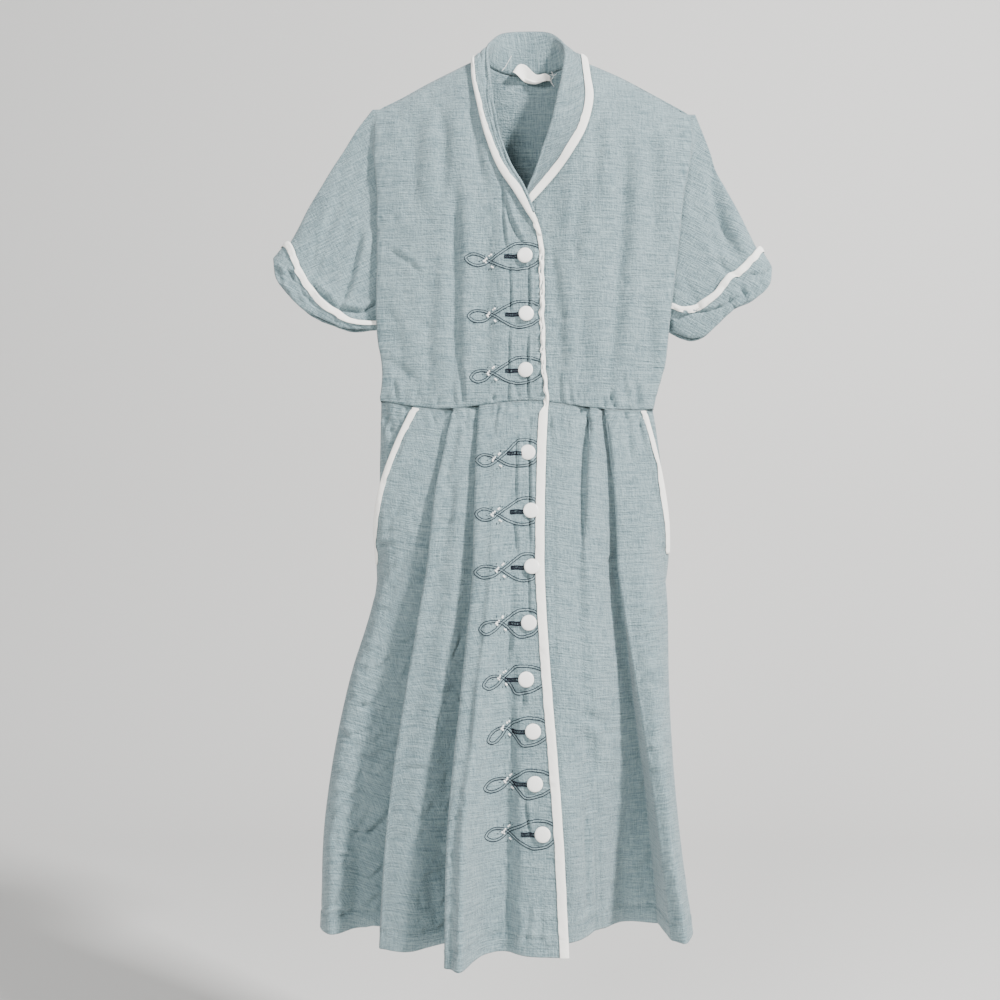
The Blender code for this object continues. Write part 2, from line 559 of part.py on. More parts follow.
def cloth(name, grids, finish, wall=WALL):
    """A named piece: grids joined where their points meet, thickened to a wall."""
    mesh = bmesh.new()
    for grid in grids:
        rows, columns = grid.shape[:2]
        made = bmesh.ops.create_grid(mesh, x_segments=columns - 1, y_segments=rows - 1, size=1)
        for vert, place in zip(made["verts"], grid.reshape(-1, 3)):
            vert.co = Vector(place) * MM
    bmesh.ops.remove_doubles(mesh, verts=mesh.verts, dist=0.01 * MM)
    bmesh.ops.recalc_face_normals(mesh, faces=mesh.faces)
    data = bpy.data.meshes.new(name)
    mesh.to_mesh(data)
    mesh.free()
    data.materials.append(finish)
    data.shade_smooth()
    piece = bpy.data.objects.new(name, data)
    dress.objects.link(piece)
    solid = piece.modifiers.new("Wall", "SOLIDIFY")
    solid.thickness = wall * MM
    solid.offset = 0
    solid.use_even_offset = False
    solid.use_rim = True
    return piece


def binding(name, edge, inner, edge_normals, inner_normals, off, finish):
    """Folded strip round an edge: out over the right side, round, and a little way back."""
    into = unit(inner - edge)
    flap = np.minimum(BINDING_BACK, 0.6 * np.linalg.norm(inner - edge, axis=1, keepdims=True))
    square = unit(edge_normals - into * np.sum(edge_normals * into, axis=1, keepdims=True))
    lines = [inner + inner_normals * off, edge + into * 0.4 + square * off]
    for angle in (40, -40):
        turn = math.radians(angle)
        lines.append(edge + off * (square * math.sin(turn) - into * math.cos(turn)))
    lines += [edge + into * 0.4 - square * off, edge + into * flap - square * off]
    return cloth(name, [np.stack(lines, axis=1)], finish, BINDING_WALL)


def collar_patch(neck_edges):
    """Collar grid: stations from the right front to the left, columns from seam to bound edge."""
    places = []
    for i, station in enumerate(COLLAR):
        side = "right" if i < COLLAR_SHOULDER else "left"
        lifts = (0, COLLAR_LIFT / 2, COLLAR_LIFT)
        places.append([(x, chest(side, x, z) - lift if y is None else y, z)
                       for (x, y, z), lift in zip(station, lifts)])
    places = np.array(places)
    seam, roll, edge = (through(places[:, k], COLLAR_STEPS) for k in range(3))
    front_ends = {"right": (0, sum(COLLAR_STEPS[:6])), "left": (sum(COLLAR_STEPS[:12]) + 1, None)}
    for side, (start, stop) in front_ends.items():
        line = neck_edges[side]
        for point in seam[start:stop]:
            point[:2] = [np.interp(-point[2], -line[:, 2], line[:, k]) for k in range(2)]
    rise = unit(roll - (seam + edge) / 2)
    across = unit(np.cross(rise, np.gradient(roll, axis=0)))
    for _ in range(3):
        across[1:-1] = unit(across[:-2] + 2 * across[1:-1] + across[2:])
    seam = seam + unit(roll - seam) * COLLAR_SEAM_GAP
    inner = roll - across * COLLAR_ROLL - rise * 1.2
    outer = roll + across * COLLAR_ROLL - rise * 1.2
    reach = np.linalg.norm(outer - edge, axis=1, keepdims=True)
    inset = edge + unit(outer - edge) * np.minimum(BINDING_WIDTH, 0.7 * reach)
    return np.stack([seam, inner, roll, outer, inset, edge], axis=1)


def cuff_patch(side, front_sleeve, back_sleeve):
    """Turned-up cuff round a sleeve end: rows from the inside of the fold to the bound edge.

    It runs from the front's underarm seam over the arm to the back's, and is open there.
    """
    count = len(front_sleeve)
    half = np.interp(np.linspace(0, 1, count), np.linspace(0, 1, len(CUFF_WIDTH[side])),
                     CUFF_WIDTH[side])

    def loop_at(distances):
        """Line round the sleeve at these distances from its end, for each of its rows."""
        lines = []
        for patch in (front_sleeve, back_sleeve):
            line = []
            for row, distance in zip(patch[:, ::-1], distances):
                length = np.concatenate([[0], np.cumsum(np.linalg.norm(np.diff(row, axis=0), axis=1))])
                line.append([np.interp(distance, length, row[:, k]) for k in range(3)])
            line = np.array(line)
            line[-1] = (line[-1] + line[-2]) / 2
            lines.append(line)
        front, back = lines
        return np.vstack([front[:0:-1], (front[0] + back[0]) / 2, back[1:]])

    def frame_at(distances):
        """Outward normals of the sleeve along that line, and the way to its end."""
        loop, above = loop_at(distances), loop_at(distances + 6.0)
        tangent = unit(np.gradient(loop, axis=0))
        normals = unit(np.cross(tangent, above - loop))
        normals = normals * np.sign(np.sum(normals * (loop - loop.mean(axis=0))))
        normals[1:-1] = unit(normals[:-2] + 2 * normals[1:-1] + normals[2:])
        away = unit(np.cross(normals, tangent))
        return normals, away * -np.sign(np.sum(away * (above - loop)))

    same = np.zeros(count)
    inset = np.maximum(half - BINDING_WIDTH * 0.9, half * 0.5)
    end_normals, away = frame_at(same)
    rows = [loop_at(same) + away * beyond + end_normals * off
            for beyond, off in ((0.5, 0.0), (1.9, 0.5), (2.5, 1.9), (1.4, 3.2))]
    facing = []
    for distances, off in ((inset * 0.5, 4.2), (inset, CUFF_LIFT), (half, CUFF_LIFT)):
        normals, _ = frame_at(distances)
        rows.append(loop_at(distances) + normals * off)
        facing.append(normals)
    return np.array(rows), facing[1:]


def on_surface(grid, x, z):
    """Nearest point to the viewer of a grid at x, z, and its normal towards the viewer."""
    best = None
    for r in range(grid.shape[0] - 1):
        for c in range(grid.shape[1] - 1):
            a, b, d, e = grid[r, c], grid[r, c + 1], grid[r + 1, c], grid[r + 1, c + 1]
            for p, q, s in ((a, b, d), (b, e, d)):
                base = np.array([[q[0] - p[0], s[0] - p[0]], [q[2] - p[2], s[2] - p[2]]])
                if abs(np.linalg.det(base)) < 1e-6:
                    continue
                m, n = np.linalg.solve(base, [x - p[0], z - p[2]])
                if min(m, n, 1 - m - n) < -1e-6:
                    continue
                point = p + m * (q - p) + n * (s - p)
                if best is None or point[1] < best[0][1]:
                    best = (point, unit(np.cross(q - p, s - p)))
    point, normal = best
    return point, normal if normal[1] < 0 else -normal


def button(name, grid, x, z, finish):
    """Domed button on a short shank, square to the cloth that it lies on."""
    place, normal = on_surface(grid, x, z)
    rim = SHANK_HEIGHT + BUTTON_EDGE
    crown = [(BUTTON_RADIUS * math.cos(a), rim + BUTTON_DOME * math.sin(a)) for a in (1.1, 0.45)]
    profile = [(0, rim + BUTTON_DOME)] + crown + [
        (BUTTON_RADIUS, rim - 0.6), (BUTTON_RADIUS - 0.8, SHANK_HEIGHT),
        (SHANK_RADIUS, SHANK_HEIGHT), (SHANK_RADIUS, 0), (0, 0)]
    mesh = bmesh.new()
    verts = [mesh.verts.new((px * MM, 0, pz * MM)) for px, pz in profile]
    for first, second in zip(verts, verts[1:]):
        mesh.edges.new((first, second))
    data = bpy.data.meshes.new(name)
    mesh.to_mesh(data)
    mesh.free()
    data.materials.append(finish)
    piece = bpy.data.objects.new(name, data)
    dress.objects.link(piece)
    turn = piece.modifiers.new("Turned", "SCREW")
    turn.steps = turn.render_steps = BUTTON_SIDES
    turn.use_merge_vertices = True
    turn.merge_threshold = 0.00005
    turn.use_smooth_shade = True
    seat = Vector(place + normal * (WALL / 2 + SEAM_GAP)) * MM
    piece.location = seat
    piece.rotation_mode = "QUATERNION"
    piece.rotation_quaternion = Vector((0, 0, 1)).rotation_difference(Vector(normal))
    return piece


def label_patch():
    """Curled strip inside the back neck, held along its upper edge."""
    rows = []
    for down in np.linspace(0, 1, 5):
        row = []
        for across in np.linspace(0, 1, 8):
            x = LABEL["left"] + (LABEL["right"] - LABEL["left"]) * across
            z = LABEL["top"] + (LABEL["bottom"] - LABEL["top"]) * down
            wall_y = float(np.interp(abs(x + 10.5), [0, 31.5, 51.5], [26, 20.6, 10.5]))
            off = WALL / 2 + SEAM_GAP + LABEL["wall"] / 2 + 0.6
            curl = LABEL["curl"] * down ** 1.5 * (0.55 + 0.45 * math.cos(2 * math.pi * across))
            row.append((x, wall_y - off - curl, z))
        rows.append(row)
    return np.array(rows)


for stale in list(bpy.data.objects):
    bpy.data.objects.remove(stale, do_unlink=True)
dress = bpy.data.collections.new("shirtwaist_dress")
bpy.context.scene.collection.children.link(dress)

linen = material("linen", CLOTH, 0.9)
white = material("white_binding", WHITE, 0.85)
pearl = material("button_white", PEARL, 0.35)

front_right, sleeve_right = front_patches("right")
front_left, sleeve_left = front_patches("left")
back, sleeve_right_back, sleeve_left_back = back_patches()
cloth("bodice_front_right", [front_right, sleeve_right], linen)
cloth("bodice_front_left", [front_left, sleeve_left], linen)
cloth("bodice_back", [back, sleeve_right_back, sleeve_left_back], linen)

skirt_right = skirt_patch(SKIRT_RIGHT, SKIRT_DROPS, inset=("first", "last"))
skirt_left = skirt_patch(SKIRT_LEFT, SKIRT_DROPS, inset=("last",))
cloth("skirt_front_right", [skirt_right], linen)
cloth("skirt_front_left", [skirt_left], linen)
cloth("skirt_back", [skirt_patch(SKIRT_BACK, skirt_rows(HEM, 13))], linen)
cloth("hip_piece_right", [skirt_patch(HIP_RIGHT, skirt_rows(HIP_END, 8))], linen)
cloth("hip_piece_left", [skirt_patch(HIP_LEFT, skirt_rows(HIP_END, 8))], linen)

neck = {"right": front_right[:, 0], "left": front_left[:, 0]}
collar = collar_patch(neck)
cloth("collar", [collar], linen)
collar_normals = outward_normals(collar[:, -2:], (0, -1, 0))[:, -1]
collar_normals *= np.sign(np.sum(collar_normals * (collar[:, 3] - collar[:, 1]), axis=1))[:, None]
binding("binding_collar", collar[:, -1], collar[:, -2], collar_normals, collar_normals, BENT_OFF,
        white)

for side, front, rear in (("right", sleeve_right, sleeve_right_back),
                          ("left", sleeve_left, sleeve_left_back)):
    cuff, (inner_facing, edge_facing) = cuff_patch(side, front, rear)
    cloth("cuff_" + side, [cuff], linen)
    binding("binding_cuff_" + side, cuff[-1], cuff[-2], edge_facing, inner_facing, BENT_OFF,
            white)

# Front edge binding, from the collar to the hem
first = int(np.argmax(front_right[:, 0, 2] < COLLAR_END))
edge = np.vstack([front_right[first:-1, 0], skirt_right[1:, -1]])
inner = np.vstack([front_right[first:-1, 1], skirt_right[1:, -2]])
bodice_facing = outward_normals(front_right[:, :4], (0, -1, 0))[first:-1]
skirt_facing = outward_normals(skirt_right[:, :-5:-1], (0, -1, 0))[1:]
binding("binding_front", edge, inner, np.vstack([bodice_facing[:, 0], skirt_facing[:, 0]]),
        np.vstack([bodice_facing[:, 1], skirt_facing[:, 1]]), BINDING_OFF, white)

for side, grid in (("right", skirt_right), ("left", skirt_left[:, ::-1])):
    rows = [r for r in range(1, len(grid)) if grid[r, 0, 2] > MOUTH_END]
    facing = outward_normals(grid[:, :4], (0, -1, 0))[rows]
    binding("binding_pocket_" + side, grid[rows, 0], grid[rows, 1], facing[:, 0], facing[:, 1],
            BENT_OFF, white)

cloth("label", [label_patch()], white, LABEL["wall"])

for number, (x, z) in enumerate(BUTTONS, start=1):
    carrier = front_right if z > WAIST else skirt_right
    button(f"button_{number:02d}", carrier, x, z, pearl)
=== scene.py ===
"""Looks of the shirtwaist dress: cloth with its creases, bindings, buttons and embroidery.

Sizes are in millimetres and become metres as each mesh is made. +X is the wearer's left,
+Y the back and +Z up, as in the model. Right and left are the wearer's.
"""
import functools
import math
import random

import bmesh
import bpy
import numpy as np
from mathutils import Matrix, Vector, noise
from mathutils.bvhtree import BVHTree


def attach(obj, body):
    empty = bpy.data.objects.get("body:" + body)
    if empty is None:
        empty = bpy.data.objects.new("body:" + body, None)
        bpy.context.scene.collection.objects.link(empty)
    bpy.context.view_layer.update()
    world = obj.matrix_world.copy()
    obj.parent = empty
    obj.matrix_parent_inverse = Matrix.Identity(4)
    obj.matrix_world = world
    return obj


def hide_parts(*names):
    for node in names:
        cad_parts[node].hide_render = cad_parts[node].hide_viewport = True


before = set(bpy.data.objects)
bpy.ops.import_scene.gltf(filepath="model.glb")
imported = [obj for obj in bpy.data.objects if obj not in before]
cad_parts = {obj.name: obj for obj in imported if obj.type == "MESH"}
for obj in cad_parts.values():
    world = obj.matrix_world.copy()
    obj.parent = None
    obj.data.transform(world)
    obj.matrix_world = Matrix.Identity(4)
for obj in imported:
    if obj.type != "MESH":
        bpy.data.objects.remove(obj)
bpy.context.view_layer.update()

MM = 0.001

# Cloth and seams
WALL = 1.3                    # thickness of the dress cloth
BINDING_WALL = 1.0            # thickness of the white binding
SEAM_GAP = 0.3                # left between two pieces at a seam
WAIST_GAP = 0.45              # the same at the curved waist seam
SEAM_HALF = WALL / 2 + SEAM_GAP / 2
BINDING_WIDTH = 9.5           # what shows of the binding
BINDING_BACK = 6.0            # what is turned to the wrong side
BINDING_OFF = WALL / 2 + SEAM_GAP + BINDING_WALL / 2
BENT_OFF = BINDING_OFF + 0.4  # the same where the edge winds round the collar or the hip

# Heights
WAIST = -450.0
HEM = -1110.0
UNDERARM = -305.0
FRONT_DEPTH = 40.5            # how far the bodice front stands forward at its centre
SIDE_DEPTH = 21.5             # and at the fold beside the sleeve
BACK_DEPTH = 31.0
BACK_SIDE_DEPTH = 20.0
FRONT_CENTRE = -3.0           # x of the middle of the front
BACK_CENTRE = -10.0
BACK_HALF = 200.0             # half the width of the back
DEPTH_POWER = 2.2             # how late front and back turn towards the sides
SHOULDER_EASE = 55.0          # drop over which the cloth comes forward from the shoulder seam
# How far the left front lies behind the right front: height, distance
LAP = [(-450, 5.5), (-300, 6), (-235, 9), (-150, 9), (-60, 3), (20, 0)]
LAP_FADE_START = 18.0         # x from which it fades out, and over what width
LAP_FADE = 32.0

# Top outline of the shoulders, and the waist seam: x, z
SHOULDER_LINE = [(-214.5, -62.4), (-178, -45.5), (-135, -22), (-80.6, 4), (-68, 8),
                 (47, 9), (62.4, 4), (106.6, -14), (152, -37.7), (195, -61), (210.6, -69)]
WAIST_LINE = [(-205, -438), (-120, -449.5), (-8, -439.5), (90, -450), (165, -449.5)]
BACK_NECK = [(-68, 0.75, 8.0), (-62, 11, 2.4), (-42, 21, -4.4), (-10.5, 26, -7.4),
             (22, 21, -4.4), (42, 11, 2.4), (47, 0.75, 9.0)]

# Free edge of each front from the shoulder to the waist: x, z
FREE_EDGE = {
    "right": [(-68, 8), (-66, -20), (-62.5, -55), (-54.5, -95), (-40, -134), (-21.5, -166),
              (-2.5, -205), (6.5, -236), (9, -312), (10, -388), (14, -439)],
    "left": [(47, 9), (44.5, -22), (38, -55), (25.5, -95), (11.5, -134), (-1.5, -166),
             (-17, -196), (-30, -225), (-34, -312), (-34, -388), (-33, -440)],
}
# Fold of the body that lies over the sleeve, from the shoulder to the waist: x, z
SIDE_FOLD = {
    "right": [(-206, -58.5), (-208, -114), (-203.5, -168), (-203, -245), (-203, -348),
              (-196, -399), (-198.5, -438)],
    "left": [(203, -65), (201, -115), (189.5, -178), (184, -232), (175, -309), (170, -348),
             (163.5, -399), (154.5, -431), (151, -449)],
}
# Overarm fold from the shoulder corner to the cuff: x, z
OVERARM = {
    "right": [(-211, -60.8), (-231, -84.5), (-247, -110.5), (-264, -136.5), (-279.5, -162.5),
              (-295, -188.5), (-308, -214.5), (-322, -238), (-336, -253)],
    "left": [(207, -67.5), (226, -110.5), (234, -136.5), (248, -162.5), (262.5, -188.5),
             (275.5, -214.5), (288.5, -240.5), (303, -264)],
}
# Lower end of each sleeve, from the overarm to the underarm: x, z
SLEEVE_END = {
    "right": [(-336, -253), (-330.5, -279), (-313.5, -302.5), (-294.5, -319.5), (-263.5, -334.5),
              (-238, -342), (-201, -339.5)],
    "left": [(303, -264), (298, -288), (283, -302.5), (268, -309), (255, -316.5), (236, -334.5),
             (217.5, -351), (204.5, -354), (186, -348), (171, -340)],
}
# Width of the turned-up cuff, round from the overarm to the underarm
CUFF_WIDTH = {
    "right": [23, 30, 35, 30, 22, 14, 10, 7.5, 6.5, 6],
    "left": [27, 32, 41, 39, 29, 36, 43, 39, 26],
}
# How far the body's fold laps over the sleeve: share of the way to the underarm, lap
SLEEVE_LAP = [(0, 0), (0.2, 3), (0.4, 14), (0.7, 33), (1, 48)]
# Points of that fold: inward where nothing laps, inward where it laps as a distance and a share
# of the lap, and its depth as shares of the front's, the tuck's and the armhole's
HAIRPIN = [
    (1.5, 1.5, 0, 1, 0, 0),
    (0, -0.2, 0, 0.5, 0.5, 0),
    (-1.2, 1.5, 0, 0, 1, 0),
    (-2.4, 0, 0.6, 0, 0.8, 0.2),
    (-3.7, 0, 0.92, 0, 0.4, 0.6),
    (-5, 0, 1, 0, 0, 1),
]
HAIRPIN_TURN = 1.8            # half the thickness of the tuck, at most
HAIRPIN_FULL = 12.0           # lap at which the fold has its full form
SIDE_TUCK = 5.0               # what the side seam is turned in at the waist
FOLD_INSET = 10.0             # where the body's columns end, inward from the fold
ARMHOLE_DEPTH = [(0, 0.75), (0.12, 3.5), (0.35, 10), (0.6, 13), (0.85, 8), (1, 0.75)]
BACK_ARMHOLE = 0.72           # share of those depths on the back
CUFF_LIFT = 4.6               # how far the turned-up cuff stands off the sleeve
CUFF_START_LIFT = 4.2         # the same near the fold
# Fold of the cuff: beyond the sleeve's end, and off its surface
CUFF_ROLL = [(0.5, 0.0), (1.9, 0.5), (2.5, 1.9), (1.4, 3.2)]
SLEEVE_BULGE = 21.0           # half the depth of the open sleeve end
SLEEVE_FLATTER = 0.4          # share of that depth lost at the underarm
# How far the sleeve sinks in beside the armhole, and the shares of its length and of the
# armhole over which it does
SLEEVE_SINK = {"depth": 1.8, "full": 0.035, "fade_start": 0.05, "fade": 0.4, "below": 0.35}

# Skirt sections. A fold is (valley x, valley y, ridge x, ridge y): the cloth runs behind the
# ridge to the valley, and turns back out to the ridge. Other entries are x, y.
# Right front: height, edge at the pocket mouth or side seam, flank, panel, panel, fold,
# panel, fold, nose, band, band, band, free edge
SKIRT_RIGHT = [
    (-450, (-156, -31.5), (-143, -32.6), (-134, -33.1), (-122, -33.6), (-92, -31, -104, -37.5),
     (-82, -36), (-60, -34, -72, -40.5), (-52, -41), (-42, -41.2), (-27, -41.2), (-8, -41),
     (14, -41)),
    (-500, (-178.5, -34), (-165, -35.9), (-155, -36), (-138, -37), (-100, -34.5, -115, -43.5),
     (-88, -43.5), (-60, -41, -75, -51.5), (-53, -52.2), (-42, -52), (-26, -51.5), (-8, -51),
     (11, -51)),
    (-553, (-197.5, -33), (-185, -37.1), (-173, -39), (-152, -41), (-110, -39, -126, -51),
     (-94, -53), (-62, -50, -77, -63), (-55, -64), (-43, -63.5), (-26, -62), (-8, -61),
     (9, -61)),
    (-600, (-206, -25), (-196, -33), (-185, -37.5), (-163, -41), (-114, -41, -131, -58),
     (-96, -61.5), (-63, -56, -78, -74), (-56, -75.5), (-44, -73.5), (-28, -71), (-9, -70),
     (8, -70.5)),
    (-650, (-204.5, -10), (-197, -20.5), (-187, -32), (-170, -39), (-120, -42, -136, -64),
     (-100, -69), (-64, -62, -79, -84), (-57, -86.5), (-45, -83.5), (-29, -80), (-10, -79),
     (7.6, -80)),
    (-700, (-206, -1.5), (-209, -16), (-198, -32.5), (-180, -38.5), (-128.5, -40.5, -144, -69),
     (-106.5, -75), (-68.5, -66, -83, -93.5), (-61.5, -97), (-48, -91.5), (-31, -87),
     (-10.5, -86.5), (9.5, -87.5)),
    (-800, (-233, -1.5), (-239, -20), (-226, -38), (-200, -38), (-148, -36, -161, -78),
     (-122, -86), (-80, -72, -93, -112), (-73, -117), (-55, -105), (-35, -97), (-12, -99),
     (16, -101)),
    (-960, (-261, -0.75), (-268, -25), (-252, -46), (-222, -37), (-180, -33, -183, -92),
     (-146, -101), (-100, -80, -108, -142), (-90, -152), (-64, -119), (-38, -104), (-14, -114),
     (28, -120)),
    (-1110, (-268, -0.75), (-275, -25), (-257, -57), (-229, -32), (-198, -27, -191, -103),
     (-160, -115), (-104, -84, -110, -166), (-94, -179), (-66, -122), (-41, -109), (-16, -127),
     (35, -133)),
]
# Left front: height, free edge, under the band, beside the binding, panel, fold, panel, fold,
# panel, panel, flank, edge at the pocket mouth or side seam
SKIRT_LEFT = [
    (-450, (-33, -35.3), (0, -35.5), (28, -37), (50, -38.2), (74, -31.5, 67.5, -37.8),
     (81, -34), (99, -29.5, 88, -35.8), (108, -33.6), (117, -31.9), (126, -29.8), (139.6, -28)),
    (-500, (-33, -44.5), (0, -45.5), (25, -48.5), (45, -48.5), (70, -42, 65.5, -48.5),
     (81, -43.5), (104, -36, 93.5, -43.5), (115, -41), (127, -38), (139, -34.6), (152.5, -32)),
    (-553, (-33, -55), (0, -55.5), (24, -58.5), (43, -57.5), (65, -51, 63.5, -56.5),
     (81, -50), (109, -40, 99, -51), (121, -48.5), (137, -42.5), (151, -36), (163.5, -31)),
    (-600, (-33, -64), (0, -64.5), (24, -67), (42, -65), (60, -59, 60, -62.5), (80, -55),
     (110, -41, 101.5, -55), (123, -53), (143, -46), (160, -32.5), (170, -24)),
    (-650, (-33, -73), (0, -73.5), (24, -75), (42, -72), (55, -67, 60.5, -69.5), (79, -60),
     (109, -39, 103, -59), (123, -58), (146, -47), (164.5, -20), (171, -10)),
    (-700, (-31.5, -80), (1, -80.5), (25.5, -81.5), (43.5, -78), (55.5, -73.5, 62, -74), (82, -62),
     (112, -38, 109.5, -62.5), (127, -63), (148.5, -52), (169, -20), (164.5, -1.5)),
    (-800, (-27, -92), (4, -93), (30, -93), (48, -88), (60, -80.5, 67, -78), (91, -61),
     (122, -36, 126, -68), (139, -72), (154, -64), (169, -36), (162, -1.5)),
    (-960, (-17, -108), (12, -109), (36, -105), (56, -88), (72, -73, 76, -69), (105, -42),
     (143, -26, 149, -76), (162, -81), (172, -66), (179, -36), (171, -0.75)),
    (-1110, (-8, -92), (18, -90), (44, -82), (63, -62), (78, -40, 83, -34), (113, -7),
     (158, -16, 168, -78), (181, -89), (191, -68), (198, -36), (188, -0.75)),
]
# Back, from the right side seam to the left: height and fourteen x, y
SKIRT_BACK = [
    (-450, (-193.5, 0.75), (-198.5, 8), (-186, 18), (-160, 22), (-130, 26), (-95, 28), (-60, 30),
     (-22, 31), (15, 30.5), (50, 29), (85, 26), (118, 21), (151, 6), (146, 0.75)),
    (-553, (-194, 0.75), (-200, 8), (-185, 24), (-160, 24), (-128, 33), (-95, 29), (-60, 38),
     (-22, 32), (16, 38), (52, 30), (88, 34), (122, 27), (166, 8), (160, 0.75)),
    (-700, (-205, 0.75), (-210, 10), (-196, 32), (-170, 25), (-136, 42), (-98, 27), (-60, 48),
     (-20, 29), (20, 46), (58, 27), (96, 42), (130, 30), (169, 9), (164.5, 0.75)),
    (-800, (-233, 0.75), (-238, 11.5), (-214, 36), (-180, 25), (-142, 46), (-101, 26.5), (-60, 52.5),
     (-18, 28.5), (25, 49.5), (65, 26.5), (103.5, 45), (136.5, 31), (170, 10), (162, 0.75)),
    (-960, (-261, 0.75), (-267.5, 14), (-240, 42), (-196, 24), (-152, 51), (-106, 26), (-60, 57),
     (-14, 28), (34, 54), (78, 26), (118, 48), (150, 31), (178, 11), (171, 0.75)),
    (-1110, (-268, 0.75), (-275, 15), (-250, 48), (-205, 22), (-160, 56), (-110, 24), (-60, 60),
     (-10, 26), (40, 58), (90, 24), (135, 52), (170, 30), (198, 12), (188, 0.75)),
]
# Hip pieces: height, side seam, flank and four points inward behind the skirt front
HIP_RIGHT = [
    (-450, (-193, -0.75), (-198.5, -10), (-192, -21.5), (-175, -26), (-156, -26.5), (-130, -27)),
    (-500, (-193.5, -0.75), (-199.5, -9), (-191, -22), (-178, -25), (-155, -27), (-132, -29)),
    (-553, (-194, -0.75), (-200.5, -9), (-190, -22), (-176, -27), (-155, -31), (-134, -34)),
    (-600, (-195.5, -0.75), (-200, -8), (-188, -20), (-172, -28), (-153, -32), (-137, -35)),
    (-640, (-194, -3), (-197, -9), (-186, -20), (-172, -27), (-156, -31), (-141, -34)),
]
HIP_LEFT = [
    (-450, (146, -0.75), (151.5, -10), (147, -20), (138, -23.5), (126, -25.5), (112, -26.5)),
    (-500, (153.5, -0.75), (159, -9), (153, -21), (143, -26), (129, -29), (115, -31)),
    (-553, (160, -0.75), (165, -9), (158, -21), (147, -28), (134, -32), (121, -36)),
    (-600, (161, -0.75), (165.5, -8), (157, -20), (146, -29), (134, -35), (122, -39)),
    (-640, (159, -3), (163, -9), (155, -20), (146, -28), (136, -33), (125, -38)),
]
HIP_END = -640.0

# Collar stations from the right front round the neck to the left front: the seam, the roll
# and the bound edge, each x, y, z. None stands for the depth of the bodice front there.
COLLAR = [
    ((-5, None, -202), (-1.8, None, -201), (-10, None, -202.5)),
    ((-18, None, -173), (-13.5, None, -171), (-25.7, None, -176.5)),
    ((-38, None, -139), (-33, None, -136.5), (-47.5, None, -143)),
    ((-53, None, -99), (-46.8, None, -97), (-63.5, None, -101)),
    ((-62.5, None, -57), (-54.5, None, -55), (-73.5, None, -59)),
    ((-66, None, -22), (-58.5, None, -14), (-80.5, None, -20)),
    ((-68, -0.5, 9.7), (-61, -1, 21), (-80.5, -3, 8)),
    ((-62, 11, 3.1), (-54, 10, 36), (-76, 18, 4)),
    ((-42, 21, -3.7), (-43, 20, 48), (-54, 33, -4)),
    ((-10.5, 26, -6.7), (-12.5, 26, 53), (-10.5, 39, -10)),
    ((22, 21, -3.7), (20, 20, 49), (34, 33, -5)),
    ((42, 11, 3.1), (32, 10, 36), (58, 19, 5)),
    ((47, -0.5, 10.7), (37.5, -2, 20), (65, -3, 9)),
    ((44.3, None, -24), (35, None, -12), (69.5, None, -22)),
    ((37.5, None, -57), (29, None, -42), (72, None, -52)),
    ((28.5, None, -87), (20.5, None, -80.4), (62, None, -93)),
    ((17.5, None, -118), (10.2, None, -112.4), (45.5, None, -123)),
    ((8, None, -142), (1.3, None, -139.3), (27.5, None, -148)),
    ((-2.7, None, -168), (-8.8, None, -164.3), (8.5, None, -170)),
    ((-15.5, None, -193), (-22, None, -191), (-10.5, None, -191)),
]
COLLAR_ROLL = 1.8             # half the thickness of the fold along the roll
COLLAR_ROLL_DROP = 1.2        # and how far below the roll it has that thickness
COLLAR_LIFT = 4.6             # how far the fall stands off the front
COLLAR_SEAM_GAP = 0.9
COLLAR_SHOULDER = 7           # stations before the left half begins

# Label: corners on the inside of the back neck, how far it curls and its thickness
LABEL = {"left": -29, "right": 21, "top": 12, "bottom": -10, "curl": 6, "wall": 1.0}
LABEL_OFF = 0.6               # how far it hangs off the back neck
# Depth of the back neck at distances from its middle
NECK_MIDDLE = -10.5
NECK_DEPTH = [(0, 26), (31.5, 20.6), (51.5, 10.5)]

# Buttons: x, z of each centre
BUTTONS = [(-13.8, -256.5), (-12.6, -330), (-12.6, -401), (-10.3, -506), (-6.9, -579),
           (-6, -648), (-9.9, -716), (-13.8, -784), (-5.5, -846), (-3.3, -908), (6.1, -967)]
BUTTON_RADIUS = 9.6
BUTTON_EDGE = 1.6             # height of the straight rim
BUTTON_DOME = 1.6             # rise of the crown above the rim
SHANK_RADIUS = 3.0
SHANK_HEIGHT = 1.5

# Pleats and seams of the skirt
PLEAT_TURN = 7.0              # half the thickness of a pleat's turn, at most
PLEAT_TURN_SHARE = 0.45       # and as a share of the pleat's depth
PLEAT_OPEN = 4.0              # distance from valley to ridge at which a pleat stands open
PLEAT_THIRD = 0.33            # how far along an open pleat its inner points lie
PLEAT_REACH = 2.5             # from a turn to the key point beside it
SEAM_ROW = 3.0                # height of the upright row of cells over the waist seam
STRAIGHT_DROP = 5.0           # how far below the seam the skirt hangs straight
SEAM_FADE = 200.0             # drop over which the seam's curve fades out

